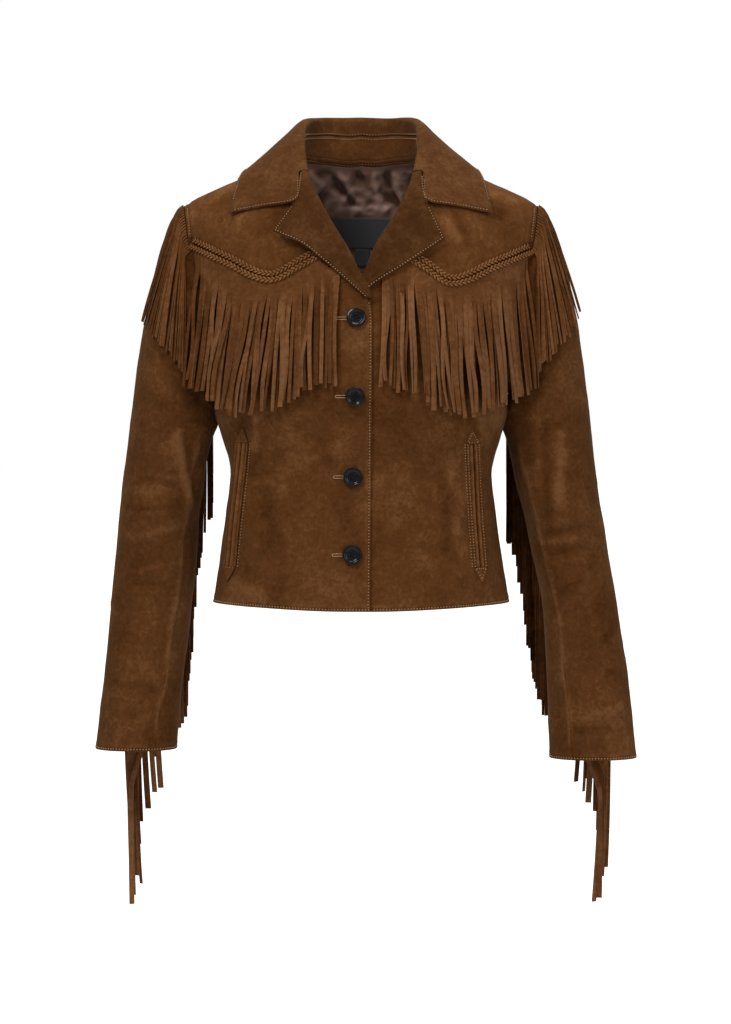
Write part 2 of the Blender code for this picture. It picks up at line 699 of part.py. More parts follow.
def wall(name, points, quads, thickness, offset, look):
    """A cloth wall on an open surface."""
    mesh = bpy.data.meshes.new(name)
    mesh.from_pydata([tuple(p) for p in points], [], quads)
    mesh.validate()
    item = bpy.data.objects.new(name, mesh)
    PARTS.objects.link(item)
    mesh.materials.append(material(name, *look))
    shell = item.modifiers.new("Wall", "SOLIDIFY")
    shell.thickness = thickness
    shell.offset = offset
    shell.use_even_offset = True
    shell.use_quality_normals = True
    return item


def panel(name, grid, look, thickness=WALL, offset=-1.0, flip=False):
    """A wall on a grid of points."""
    rows, columns = grid.shape[:2]
    quads = []
    for r in range(rows - 1):
        for c in range(columns - 1):
            corner = r * columns + c
            quad = (corner, corner + 1, corner + columns + 1, corner + columns)
            quads.append(quad[::-1] if flip else quad)
    return wall(name, grid.reshape(-1, 3), quads, thickness, offset, look)


def comb(name, strands, strip, look, flip=False):
    """Strands fused at their roots into a narrow strip; each strand is rows of two edge points."""
    points = []
    quads = []

    def face(*corners):
        quads.append(corners[::-1] if flip else corners)

    previous = None
    for rows, backing in zip(strands, strip):
        base = len(points)
        points.extend(backing)
        points.extend(p for row in rows for p in row)
        first = base + 2
        face(base, base + 1, first + 1, first)
        for k in range(len(rows) - 1):
            a = first + 2 * k
            face(a, a + 1, a + 3, a + 2)
        if previous is not None:
            face(previous, base, first, previous + 2)
        previous = base + 1
    return wall(name, points, quads, STRAND_WALL, 1.0, look)


def touch(x, z):
    """Where the front of the sewn panels lies at a place, and its outward direction."""
    for aside, above in ((0, 0), (0, -1), (0, 1), (-1, 0), (1, 0), (-2, 0), (2, 0), (-3, 0), (3, 0)):
        start = Vector((x + aside * 0.0009, -1.0, z + above * 0.0009))
        place, normal, _, _ = OUTSIDE.ray_cast(start, Vector((0, 1, 0)))
        if place is not None and place.y < -0.004:
            return np.array([x, place.y, z]), np.array(normal if normal.y < 0 else -normal)
    return None


def lay(x, z, lift):
    """Point lying on the front of the sewn panels, moved out by lift."""
    place, normal = touch(x, z)
    return place + normal * lift


def forward(x, z, least):
    """Front-most depth over the body and sleeves at a place, kept ahead of least."""
    found = touch(x, z)
    return least if found is None else min(float(found[0][1]), least)


def yoke_fringe(hand):
    """Strip and hanging strands under a yoke."""
    table = YOKE_STRANDS_RIGHT if hand < 0 else YOKE_STRANDS_LEFT
    strands = []
    strip = []
    pitch = 1.0 / (YOKE_COUNT - 1)
    for i in range(YOKE_COUNT):
        order = i * pitch
        root_x, root_z, tip_x, tip_z = (float(ease(table, c, order)) for c in Strand._fields[1:])
        tip_z += 0.0022 * math.sin(2.3 * i) + 0.0016 * math.sin(5.1 * i + 1)
        rows = []
        least = [1.0, 1.0]
        for k, share in enumerate((0.0, 0.14, 0.55, 1.0)):
            sway = 0.0010 * math.sin(0.9 * i) * math.sin(share * math.pi)
            x = hand * (mix(root_x, tip_x, share) + sway)
            z = mix(root_z, tip_z, share)
            row = []
            for e, edge in enumerate((-1, 1)):
                ex = x + edge * YOKE_STRAND / 2
                if k == 0:
                    row.append(lay(ex, z, ON_TOP))
                    least[e] = row[-1][1]
                else:
                    free = mix(0.0030, 0.0044, ramp(root_x, 0.15, 0.18)) * (1.0 if k > 1 else 0.6)
                    least[e] = forward(ex, z, least[e] + free) - free
                    row.append(np.array([ex, least[e], z]))
            rows.append(row)
        backing = []
        for edge in (-1, 1):
            ex = hand * root_x + edge * YOKE_STRAND / 2
            under = mix(0.006, 0.040, float(ramp(root_x, 0.028, 0.060)))
            top = min(float(yoke_line(np.array(ex), hand)) - STRIP_TOP, root_z + under)
            backing.append(lay(ex, top, ON_TOP))
        strands.append(rows)
        strip.append(backing)
    if hand < 0:
        return strands, strip
    return strands[::-1], strip[::-1]


def shoulder_fringe(hand):
    """Strip at the armhole and strands over the sleeve head."""
    strands = []
    strip = []
    turns = np.linspace(0, 0.3, 200)
    seam = sleeve(turns, np.full(200, 0.05), hand)
    run = np.concatenate([[0], np.cumsum(np.linalg.norm(np.diff(seam, axis=0), axis=1))])
    for i in range(SHOULDER_COUNT):
        order = i / (SHOULDER_COUNT - 1)
        turn = float(np.interp(SHOULDER_FIRST + i * SHOULDER_PITCH, run, turns))
        tip_turn = mix(0.050, 0.285, order)
        rows = []
        for share in (0.09, 0.24, 0.50, 1.0):
            bend = mix(turn, tip_turn, (share - 0.09) / 0.91)
            rows.append([share, bend])
        ends = place_strand(rows, hand, 0.002 * math.sin(3.1 * i))
        strands.append(ends[1:])
        strip.append(ends[0])
    return strands, strip


def place_strand(rows, hand, longer):
    """Edge points of a strand laid down a sleeve head."""
    samples = np.linspace(0.0, 1.0, 60)
    turns = np.interp(samples, [r[0] for r in rows], [r[1] for r in rows])
    reaches = samples * 1.05
    line = sleeve(turns, reaches, hand)
    run = np.concatenate([[0], np.cumsum(np.linalg.norm(np.diff(line, axis=0), axis=1))])
    out = []
    for distance, lift in SHOULDER_REST:
        if distance == SHOULDER_REST[-1].run:
            distance += longer
        reach = float(np.interp(distance, run, reaches))
        turn = float(np.interp(distance, run, turns))
        centre = sleeve(turn, reach, hand)
        normal = sleeve_normal(turn, reach, hand)
        side = unit(sleeve(turn + 0.004, reach, hand) - sleeve(turn - 0.004, reach, hand))
        half = SHOULDER_STRAND / 2
        out.append([centre - side * half + normal * lift, centre + side * half + normal * lift])
    return out


def sleeve_fringe(hand):
    """Strip down the sleeve's back seam and strands hanging from it."""
    strands = []
    strip = []
    leave = unit(np.array([-hand * 0.55, 0.83, 0.0]))
    for i in range(SLEEVE_COUNT):
        order = i / (SLEEVE_COUNT - 1)
        slant = mix(0.98, 0.75, order)
        inward = np.array([-hand * math.cos(slant), -math.sin(slant), 0.0])
        reach = mix(1.005, 1.985, order)
        turn = float(ease(SLEEVE_SEAM, "back", reach))
        root = sleeve(turn, reach, hand)
        normal = sleeve_normal(turn, reach, hand)
        down = unit(sleeve(turn + 0.001, reach + 0.004, hand) - sleeve(turn, reach - 0.004, hand))
        side = unit(np.cross(normal, down)) * hand
        half = SLEEVE_STRAND / 2 * 0.9
        face = root + normal * 0.0018
        edge = face - side * SLEEVE_STRIP
        strip.append([edge - down * half, edge + down * half])
        rows = [[face + side * 0.0010 - down * half, face + side * 0.0010 + down * half]]
        for fall, off, swing in SLEEVE_HANG:
            if fall == SLEEVE_HANG[-1].fall:
                fall += 0.003 * math.sin(1.9 * i)
            centre = face + leave * off + np.array([0, 0, -fall])
            turnover = unit(mix(-down, inward, swing)) * half / 0.9
            rows.append([centre + turnover, centre - turnover])
        strands.append(rows)
    return strands, strip


def band(centre, half, side_lift, hand, name, look):
    """A narrow piece lying on the front along rows of place, half width and lift."""
    grid = []
    for (x, z), width, lift in zip(centre, half, side_lift):
        grid.append([(x - width, z, lift), (x, z, lift), (x + width, z, lift)])
    points = np.array([[lay(hand * x, z, lift) for x, z, lift in row] for row in grid])
    return panel(name, points, look, thickness=0.0012, offset=1.0, flip=hand < 0)


def build_braid(hand, name, look):
    """Plaited lacing over a yoke seam."""
    xs = np.linspace(0.060, 0.1905, 21)
    grid = []
    for x in xs:
        seam = float(yoke_line(x, hand))
        slope = float(yoke_line(x + 0.001, hand) - yoke_line(x - 0.001, hand)) / 0.002
        across = unit(np.array([-slope, 1.0]))
        row = []
        for share in (-1, 0, 1):
            place = np.array([x, seam]) + across * share * BRAID_WIDTH / 2
            row.append((min(place[0], 0.1900), place[1], STRAND_WALL + ON_TOP + 0.0005))
        grid.append(row)
    points = np.array([[lay(hand * x, z, lift) for x, z, lift in row] for row in grid])
    return panel(name, points, look, thickness=BRAID_WALL, offset=1.0, flip=hand > 0)


def build_button(index, place, look):
    """A dished round button."""
    profile = [(0.0, -0.0018), (0.0070, -0.0018), (BUTTON_RADIUS, 0.0004), (BUTTON_RADIUS, 0.0014)]
    profile += [(0.0095, 0.0024), (0.0075, 0.0012), (0.0, 0.0009)]
    mesh = bpy.data.meshes.new(f"button_{index}")
    points = [(r, 0.0, h) for r, h in profile]
    mesh.from_pydata(points, [(i, i + 1) for i in range(len(points) - 1)], [])
    item = bpy.data.objects.new(f"button_{index}", mesh)
    PARTS.objects.link(item)
    mesh.materials.append(material(f"button_{index}", *look))
    turn = item.modifiers.new("Turned", "SCREW")
    turn.angle = 2 * math.pi
    turn.steps = 20
    turn.render_steps = 20
    turn.use_merge_vertices = True
    turn.merge_threshold = 0.00001
    turn.use_normal_calculate = True
    x, z = np.array(place.x), np.array(place.z)
    normal = body_normal(x, z, -1)
    item.rotation_euler = Vector(normal).to_track_quat("Z", "Y").to_euler()
    item.location = Vector(lay(place.x, place.z, 0.0038))
    return item


for item in list(bpy.data.objects):
    bpy.data.objects.remove(item, do_unlink=True)
PARTS = bpy.data.collections.new("fringed_jacket")
bpy.context.scene.collection.children.link(PARTS)

SUEDE = ((0.185, 0.098, 0.045), 0.9)
FRINGE = ((0.205, 0.112, 0.060), 0.9)
SATIN = ((0.090, 0.055, 0.042), 0.45)
BLACK = ((0.012, 0.013, 0.015), 0.7)
HORN = ((0.010, 0.009, 0.009), 0.2)

surfaces = []
for hand, word in ((-1, "right"), (1, "left")):
    front = front_grid(hand, 13)
    yoke = yoke_grid(hand, 13, 8)
    panel(f"front_{word}", front, SUEDE, flip=hand < 0)
    panel(f"yoke_{word}", yoke, SUEDE, flip=hand < 0)
    upper = sleeve_grid(hand, "upper", 15, 8, 9)
    under = sleeve_grid(hand, "under", 7, 8, 9)
    panel(f"sleeve_upper_{word}", upper, SUEDE, flip=hand < 0)
    panel(f"sleeve_under_{word}", under, SUEDE, flip=hand < 0)
    panel(f"lapel_{word}", lapel_grid(hand, 11, 4), SUEDE, thickness=COLLAR_WALL, flip=hand < 0)
    surfaces.extend([front, yoke, upper])

points = []
faces = []
for grid in surfaces:
    base = len(points)
    rows, columns = grid.shape[:2]
    points.extend(Vector(p) for p in grid.reshape(-1, 3))
    for r in range(rows - 1):
        for c in range(columns - 1):
            a = base + r * columns + c
            faces.append((a, a + 1, a + columns + 1, a + columns))
OUTSIDE = BVHTree.FromPolygons(points, faces)

panel("back", back_grid(19, 11, 8), SUEDE, flip=True)
panel("collar", collar_grid(10), SUEDE, thickness=COLLAR_WALL, flip=True)
panel("collar_stand", stand_grid(9), SUEDE, thickness=0.0012, flip=True)

for hand, word in ((-1, "right"), (1, "left")):
    strands, strip = yoke_fringe(hand)
    comb(f"fringe_yoke_{word}", strands, strip, FRINGE, flip=True)
    strands, strip = shoulder_fringe(hand)
    comb(f"fringe_shoulder_{word}", strands, strip, FRINGE, flip=hand < 0)
    strands, strip = sleeve_fringe(hand)
    comb(f"fringe_sleeve_{word}", strands, strip, FRINGE, flip=hand < 0)
    build_braid(hand, f"braid_{word}", SUEDE)
    rows = POCKET_RIGHT if hand < 0 else POCKET_LEFT
    heights = [-0.480, -0.460, -0.430, -0.400, -0.372, -0.345, -0.328, -0.309]
    if hand < 0:
        heights[-1] = -0.308
    centre = [(float(ease(rows, "x", z)), z) for z in heights]
    half = [float(ease(rows, "half", z)) for z in heights]
    band(centre, half, [ON_TOP + 0.0003] * len(half), hand, f"pocket_{word}", SUEDE)

for index, place in enumerate(BUTTONS, start=1):
    build_button(index, place, HORN)

xs = np.linspace(-1, 1, 11)
lining = []
for share in np.linspace(0, 1, 9):
    x = xs * LINING_HALF
    top = np.where(np.abs(x) < NECK_HALF, neck_height(x), ease(SHOULDER, "z", np.abs(x)) - 0.004) - 0.003
    z = mix(LINING_LOW, top, math.sin(share * math.pi / 2))
    lining.append(on_body(x, z, 1, -(WALL + 0.0030)))
panel("back_lining", np.array(lining), SATIN, thickness=0.001, flip=True)

inset = -(WALL + 0.0030 + 0.001 + 0.0015)
tag = []
for z in np.linspace(LABEL_LOW, LABEL_TOP, 3):
    tag.append(on_body(np.linspace(-1, 1, 5) * LABEL_HALF, np.full(5, z), 1, inset))
panel("label", np.array(tag), BLACK, thickness=0.001, flip=True)
tag = []
for z in np.linspace(TAB_LOW, LABEL_LOW - 0.0005, 3):
    tag.append(on_body(np.linspace(-1, 1, 3) * TAB_HALF + 0.0015, np.full(3, z), 1, inset))
panel("size_tab", np.array(tag), BLACK, thickness=0.001, flip=True)
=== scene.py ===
"""Looks of a fringed suede jacket: panels, fringe, plaits, stitches, satin and buttons on its frame."""

import math
from collections import namedtuple

import bpy
import numpy as np
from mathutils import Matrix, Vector
from mathutils.bvhtree import BVHTree


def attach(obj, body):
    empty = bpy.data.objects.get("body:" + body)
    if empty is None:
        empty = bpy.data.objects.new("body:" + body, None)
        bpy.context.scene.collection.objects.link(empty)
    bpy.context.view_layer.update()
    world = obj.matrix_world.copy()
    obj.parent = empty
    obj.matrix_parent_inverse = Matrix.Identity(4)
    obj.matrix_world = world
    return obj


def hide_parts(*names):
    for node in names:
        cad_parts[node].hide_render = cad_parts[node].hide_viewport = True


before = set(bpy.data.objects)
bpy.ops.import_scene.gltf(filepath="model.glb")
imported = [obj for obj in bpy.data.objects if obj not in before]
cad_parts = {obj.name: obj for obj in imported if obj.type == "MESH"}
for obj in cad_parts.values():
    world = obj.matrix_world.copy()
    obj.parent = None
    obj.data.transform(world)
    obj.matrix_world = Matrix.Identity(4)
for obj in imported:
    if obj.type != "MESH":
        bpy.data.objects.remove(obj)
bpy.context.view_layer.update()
# The wearer's right side is -1, toward -X, and the left side is 1
SIDE = {-1: "right", 1: "left"}


def listed(names, *rows):
    """Rows of values under named columns."""
    kind = namedtuple("Row", names)
    return [kind(*row) for row in rows]


# Leather and seams
WALL = 0.0016
SEAM_GAP = 0.0005
GORGE_GAP = 0.0010
ARMHOLE_GAP = 0.0014

# Body form: an oval section at each height, closed over by the shoulders; ROUND and ARCH are exponents
ROUND = 2.3
ARCH = 2.2
YOKE_BASE = -0.160
BODY = listed(
    "z half front back",
    (-0.512, 0.17, 0.121, 0.116), (-0.46, 0.1615, 0.116, 0.109), (-0.4, 0.1535, 0.11, 0.102),
    (-0.36, 0.149, 0.107, 0.099), (-0.318, 0.159, 0.117, 0.103), (-0.27, 0.167, 0.128, 0.109),
    (-0.22, 0.18, 0.127, 0.113), (-0.15, 0.196, 0.115, 0.115), (-0.09, 0.204, 0.112, 0.113),
    (-0.04, 0.209, 0.112, 0.112), (0.04, 0.214, 0.112, 0.112),
)
SHOULDER = listed(
    "x z",
    (0.0, 0.03), (0.035, 0.02), (0.07, 0.0), (0.127, -0.022), (0.184, -0.046), (0.2, -0.056),
)
HEM_SIDE_Z = -0.506
HEM_FRONT_Z = -0.510
TIP_Z = -0.0560
PIT_Z = -0.2700
ARMHOLE = listed(
    "z x",
    (PIT_Z, 0.167), (-0.24, 0.169), (-0.2, 0.1715), (-0.15, 0.179), (-0.095, 0.195), (TIP_Z, 0.2),
)

# Neck opening
NECK_HALF = 0.0700
NECK_BACK = 0.0680
GORGE_Z = -0.0260
# Inner edge of each front from the hem to the side of the neck, as x toward the wearer's left
FRONT_EDGE = listed(
    "z right left",
    (HEM_FRONT_Z, 0.01, -0.02), (-0.36, 0.0112, -0.02), (-0.19, 0.0124, -0.019), (-0.164, 0.01, -0.013),
    (-0.148, 0.001, -0.001), (-0.131, -0.009, 0.009), (-0.107, -0.0215, 0.0215), (-0.08, -0.038, 0.038),
    (-0.058, -0.05, 0.05), (-0.036, -0.06, 0.06), (-0.017, -0.065, 0.065), (0.0, -0.07, 0.07),
)
UNDERLAP = 0.0034

# Pointed yoke seam of each side, x outward
YOKE_SEAM = listed(
    "x right left",
    (0.02, -0.098, -0.099), (0.07, -0.127, -0.127), (0.1, -0.141, -0.145), (0.15, -0.12, -0.125),
    (0.192, -0.099, -0.106),
)
# How far below the seam the fringe's plain strip starts
STRIP_TOP = 0.0020

# Folds along lines: x0, z0, x1, z1, width and height; x toward the wearer's left
FRONT_FOLDS = [
    (-0.15, -0.255, -0.118, -0.33, 0.012, -0.004), (-0.128, -0.25, -0.108, -0.345, 0.014, 0.0045),
    (0.122, -0.27, 0.14, -0.345, 0.012, 0.006), (0.146, -0.28, 0.15, -0.35, 0.01, -0.005),
    (-0.06, -0.4, -0.13, -0.5, 0.022, 0.003), (0.05, -0.38, 0.11, -0.5, 0.022, 0.003),
    (0.06, -0.03, 0.15, -0.095, 0.013, 0.002), (-0.06, -0.03, -0.15, -0.09, 0.013, 0.002),
]
BACK_FOLDS = [
    (-0.15, -0.26, -0.09, -0.36, 0.015, 0.0045), (0.148, -0.255, 0.095, -0.35, 0.015, 0.0045),
    (-0.08, -0.375, 0.075, -0.365, 0.014, -0.004), (0.06, -0.4, 0.11, -0.5, 0.024, 0.0035),
    (-0.055, -0.405, -0.105, -0.5, 0.024, 0.0035), (-0.13, -0.11, -0.06, -0.2, 0.02, 0.003),
    (0.13, -0.115, 0.06, -0.205, 0.02, 0.003),
]

# Sleeves: oval sections below the head, x outward
HEAD_Z = -0.310
ARM = {
    -1: listed(
        "z out fore half_x half_y",
        (-0.671, 0.2542, -0.024, 0.0456, 0.0375), (-0.62, 0.2498, -0.015, 0.0452, 0.0425),
        (-0.55, 0.2427, -0.004, 0.0457, 0.048), (-0.46, 0.234, 0.006, 0.046, 0.053),
        (-0.365, 0.225, 0.005, 0.046, 0.056), (HEAD_Z, 0.2165, 0.003, 0.0475, 0.058),
    ),
    1: listed(
        "z out fore half_x half_y",
        (-0.681, 0.2621, -0.026, 0.0491, 0.038), (-0.594, 0.2574, -0.012, 0.0464, 0.044),
        (-0.495, 0.2464, 0.004, 0.042, 0.051), (-0.44, 0.236, 0.006, 0.0435, 0.054),
        (-0.365, 0.222, 0.005, 0.0465, 0.056), (HEAD_Z, 0.213, 0.003, 0.049, 0.058),
    ),
}
# Direction and length with which the sleeve head leaves the armhole
# Turn 0 is the shoulder tip, 0.25 the front and 0.5 the armpit
LEAVE = listed(
    "turn out back down length",
    (0.0, 0.9, 0.0, 0.44, 0.12), (0.12, 0.86, -0.22, 0.45, 0.105), (0.25, 0.8, -0.35, 0.5, 0.085),
    (0.4, 0.7, -0.2, 0.68, 0.05), (0.5, 0.8, 0.0, 0.6, 0.022), (0.6, 0.7, 0.2, 0.68, 0.05),
    (0.75, 0.8, 0.38, 0.45, 0.09), (0.88, 0.86, 0.22, 0.45, 0.105), (1.0, 0.9, 0.0, 0.44, 0.12),
)
ARRIVE = 0.200
# Sleeve seams as turns round the sleeve; reach 0 is the armhole, 1 the head's end, 2 the cuff
SLEEVE_SEAM = listed(
    "reach front back",
    (0.0, 0.42, 0.59), (1.0, 0.41, 0.605), (1.4, 0.392, 0.65), (1.8, 0.34, 0.705), (2.0, 0.33, 0.742),
)
# Folds of both sleeves: turn0, reach0, turn1, reach1, width and share of the section
ARM_FOLDS = [
    (0.1, 1.3, 0.45, 1.18, 0.06, 0.05), (0.08, 1.52, 0.42, 1.4, 0.06, 0.045),
    (0.15, 1.42, 0.45, 1.3, 0.05, -0.05), (0.6, 1.45, 0.9, 1.35, 0.07, 0.04),
    (0.12, 1.7, 0.4, 1.62, 0.05, 0.03), (0.55, 1.2, 0.85, 1.12, 0.06, -0.04),
]

# Collar, from the centre of the back round to the gorge
# An edge turn of 0 is on the shoulder line, 1 at the yoke's base on the back and -1 on the front
COLLAR = listed(
    "w roll_x roll_y roll_z edge_x edge_turn lift stand soft bulge",
    (0.0, 0.0, 0.081, 0.0515, 0.0, 0.45, 0.007, 0.03, 0.006, 0.004),
    (0.2, 0.023, 0.078, 0.051, 0.045, 0.43, 0.007, 0.03, 0.006, 0.004),
    (0.4, 0.043, 0.065, 0.05, 0.087, 0.33, 0.007, 0.029, 0.0058, 0.003),
    (0.6, 0.057, 0.04, 0.0465, 0.115, 0.15, 0.007, 0.026, 0.0055, 0.002),
    (0.75, 0.0635, 0.006, 0.038, 0.1285, 0.0, 0.0068, 0.02, 0.005, 0.001),
    (0.88, 0.0635, -0.043, 0.01, 0.1365, -0.26, 0.0072, 0.008, 0.0042, 0.002),
    (1.0, 0.059, -0.074, -0.024, 0.1447, -0.526, 0.0072, 0.002, 0.0036, 0.002),
)
NOTCH_X = 0.0700
NOTCH_Z = -0.0585
# Lift of a lapel's flat and of its roll's inner side, and how far the collar's leaf keeps off the body
LAPEL_LIFT = 0.0078
ROLL_LIFT = 0.0072
COLLAR_CLEAR = 0.0058
# How far the stand's foot lies inside and above the neck seam
FOOT_IN = 0.0036
FOOT_UP = 0.0022

# Lapels: rows from the break above the top button up to the gorge; x outward, fold then outer edge
LAPEL = {
    -1: listed(
        "v fold_z edge_x edge_z lift",
        (0.0, -0.165, -0.006, -0.1652, 0.0046), (0.15, -0.148, 0.0125, -0.148, 0.0064),
        (0.35, -0.116, 0.038, -0.1265, 0.0075), (0.6, -0.083, 0.064, -0.106, 0.0078),
        (0.85, -0.05, 0.086, -0.097, 0.0078), (1.0, GORGE_Z, 0.0946, -0.0932, 0.0078),
    ),
    1: listed(
        "v fold_z edge_x edge_z lift",
        (0.0, -0.152, 0.003, -0.159, 0.003), (0.1, -0.133, 0.013, -0.15, 0.0056),
        (0.2, -0.1225, 0.025, -0.1425, 0.0069), (0.38, -0.103, 0.044, -0.131, 0.0076),
        (0.6, -0.0775, 0.067, -0.116, 0.0078), (0.85, -0.048, 0.085, -0.104, 0.0078),
        (1.0, GORGE_Z, 0.0906, -0.0997, 0.0078),
    ),
}
# Section across a lapel's turned edge, from the front's edge to the flat of the lapel
LAPEL_TURN = [
    (-0.001, -0.25), (-0.0044, -0.12), (-0.0056, 0.3), (-0.0036, 0.7), (0.001, 0.93),
]

# Fringe: root and tip of the strands under each yoke, x outward
YOKE_STRANDS = {
    -1: listed(
        "order root_x root_z tip_x tip_z",
        (0.0, 0.184, -0.1262, 0.1985, -0.2575), (0.1, 0.168, -0.135, 0.182, -0.2664),
        (0.4, 0.12, -0.159, 0.14, -0.2939), (0.64, 0.082, -0.152, 0.09, -0.283),
        (0.8, 0.0565, -0.141, 0.06, -0.265), (1.0, 0.0245, -0.127, 0.0245, -0.2596),
    ),
    1: listed(
        "order root_x root_z tip_x tip_z",
        (0.0, 0.185, -0.13, 0.1979, -0.2597), (0.1, 0.169, -0.1385, 0.18, -0.273),
        (0.4, 0.121, -0.16, 0.133, -0.2926), (0.64, 0.083, -0.1537, 0.093, -0.288),
        (0.8, 0.0575, -0.143, 0.063, -0.27), (1.0, 0.0255, -0.13, 0.0255, -0.2596),
    ),
}
# Width of the strip that carries the sleeve's strands
SLEEVE_STRIP = 0.0050

# Pockets, buttons and what shows inside the neck
POCKET = {
    -1: listed(
        "z x half",
        (-0.48, 0.1485, 0.0006), (-0.46, 0.1465, 0.0072), (-0.42, 0.1425, 0.007), (-0.372, 0.137, 0.007),
        (-0.328, 0.1325, 0.0072), (-0.308, 0.1306, 0.0006),
    ),
    1: listed(
        "z x half",
        (-0.48, 0.1345, 0.0006), (-0.461, 0.1325, 0.0078), (-0.42, 0.1295, 0.0076), (-0.372, 0.1265, 0.0076),
        (-0.328, 0.1245, 0.0078), (-0.309, 0.123, 0.0006),
    ),
}
# Rise, middle and width of a pocket's welt, slit and seam, out from its middle line
WELT_FORM = [(0.0013, 0.0024, 0.0014), (-0.0013, 0.0, 0.0010), (-0.0007, 0.0047, 0.0007)]
# Radius and height of a button from its shank's foot round the rim to its dished middle
BUTTON_FORM = [
    (0.0, -0.0040), (0.0017, -0.0040), (0.0015, -0.0026), (0.0017, -0.0012), (0.0080, -0.0012),
    (0.0104, -0.0002), (0.0108, 0.0008), (0.0106, 0.0018), (0.0099, 0.0025), (0.0090, 0.0027),
    (0.0080, 0.0024), (0.0071, 0.0015), (0.0060, 0.0010), (0.0030, 0.0009), (0.0, 0.0009),
]
BUTTON_SIDES = 40
BUTTON_LIFT = 0.0038
# A button's holes: radius and distance from its middle, and the drill's length and height
HOLE_RADIUS = 0.0009
HOLE_OUT = 0.0021
DRILL_LONG = 0.0056
DRILL_UP = 0.0018
# Buttonholes, from a button's middle outward
SLOT_LONG = 0.0205
SLOT_HALF = 0.0013
BUTTONS = listed(
    "x z",
    (-0.0053, -0.1869), (-0.0064, -0.2728), (-0.0086, -0.362), (-0.0098, -0.4479),
)
LINING_HALF = 0.100
LINING_LOW = -0.235
# How far the lining lies inside the leather, and the label inside the lining
LINING_IN = 0.0030
LABEL_IN = 0.0025
LABEL_HALF = 0.041
LABEL_TOP = -0.0633
LABEL_LOW = -0.0996
TAB_HALF = 0.0085
TAB_LOW = -0.1200


def glide(s, start, leave, end, arrive):
    """Smooth way from start to end, leaving and arriving with given slopes."""
    first = (2 * s**3 - 3 * s**2 + 1) * start + (s**3 - 2 * s**2 + s) * leave
    return first + (3 * s**2 - 2 * s**3) * end + (s**3 - s**2) * arrive


def ease(table, column, at):
    """Smooth reading of a column against the table's first column."""
    keys = np.array([row[0] for row in table], float)
    values = np.array([getattr(row, column) for row in table], float)
    step = np.diff(keys)
    slope = np.diff(values) / step
    tangent = np.concatenate([slope[:1], np.zeros(len(slope) - 1), slope[-1:]])
    for i in range(1, len(slope)):
        if slope[i - 1] * slope[i] > 0:
            tangent[i] = 2 * slope[i - 1] * slope[i] / (slope[i - 1] + slope[i])
    at = np.clip(np.asarray(at, float), keys[0], keys[-1])
    i = np.clip(np.searchsorted(keys, at, side="right") - 1, 0, len(step) - 1)
    leave, arrive = step[i] * tangent[i], step[i] * tangent[i + 1]
    return glide((at - keys[i]) / step[i], values[i], leave, values[i + 1], arrive)


def unit(vector):
    """Vectors scaled to length one along their last axis."""
    return vector / np.maximum(np.linalg.norm(vector, axis=-1, keepdims=True), 1e-12)


def mix(a, b, share):
    """Point a share of the way from a to b."""
    return a + (b - a) * share


def ramp(value, low, high):
    """Soft step from 0 at low to 1 at high."""
    s = np.clip((value - low) / (high - low), 0, 1)
    return s * s * (3 - 2 * s)


def bell(away, width):
    """Soft bump of height 1 where away is 0."""
    return np.exp(-((away / width) ** 2))


def distances(path):
    """Distance run along a path to each of its points."""
    return np.concatenate([[0.0], np.cumsum(np.linalg.norm(np.diff(path, axis=0), axis=1))])


def read_at(at, run, rows):
    """Points or directions read from rows at distances along them."""
    return np.stack([np.interp(at, run, rows[:, k]) for k in range(3)], axis=-1)


def shoulder_z(x):
    """Height of the shoulder line at a distance from the middle."""
    return ease(SHOULDER, "z", np.abs(x))


def ridges(x, z, rows):
    """Height of soft folds lying along lines."""
    total = 0.0
    for x0, z0, x1, z1, width, height in rows:
        run = (x1 - x0) ** 2 + (z1 - z0) ** 2
        share = np.clip(((x - x0) * (x1 - x0) + (z - z0) * (z1 - z0)) / run, 0, 1)
        away = (x - x0 - share * (x1 - x0)) ** 2 + (z - z0 - share * (z1 - z0)) ** 2
        total = total + height * np.exp(-away / width**2)
    return total


def body_y(x, z, side):
    """Depth of the body's outer face; side -1 is the front and 1 the back."""
    half = ease(BODY, "half", z)
    depth = ease(BODY, "front" if side < 0 else "back", z)
    depth = depth + ridges(x, z, FRONT_FOLDS if side < 0 else BACK_FOLDS)
    level = (1 - np.clip(np.abs(x) / half, 0, 1) ** ROUND) ** (1 / ROUND)
    crown = shoulder_z(x)
    rise = np.clip((z - YOKE_BASE) / (crown - YOKE_BASE), 0, 1)
    close = (1 - rise**ARCH) ** (1 / ARCH)
    return side * (SEAM_GAP / 2 + depth * level * close)


def body_normal(x, z, side):
    """Outward direction of the body's outer face."""
    h = 0.0004
    x = np.clip(x, -ease(BODY, "half", z) + 2 * h, ease(BODY, "half", z) - 2 * h)
    z = np.minimum(z, shoulder_z(x) - 2 * h)
    dx = (body_y(x + h, z, side) - body_y(x - h, z, side)) / (2 * h)
    dz = (body_y(x, z + h, side) - body_y(x, z - h, side)) / (2 * h)
    return unit(np.stack([-side * dx, side * np.ones_like(dx), -side * dz], axis=-1))


def on_body(x, z, side, lift=0.0):
    """Points on the body's outer face, moved out by lift."""
    x, z = np.broadcast_arrays(np.asarray(x, float), np.asarray(z, float))
    point = np.stack([x, body_y(x, z, side), z], axis=-1)
    return point + np.asarray(lift)[..., None] * body_normal(x, z, side)


def underlap(x, z):
    """How far the left front sinks behind the right one."""
    edge = ease(FRONT_EDGE, "right", z)
    return UNDERLAP * (1 - ramp(x - edge, 0.008, 0.034))


def yoke_line(x, hand):
    """Height of the yoke seam at a distance out from the middle."""
    return ease(YOKE_SEAM, SIDE[hand], np.abs(x))


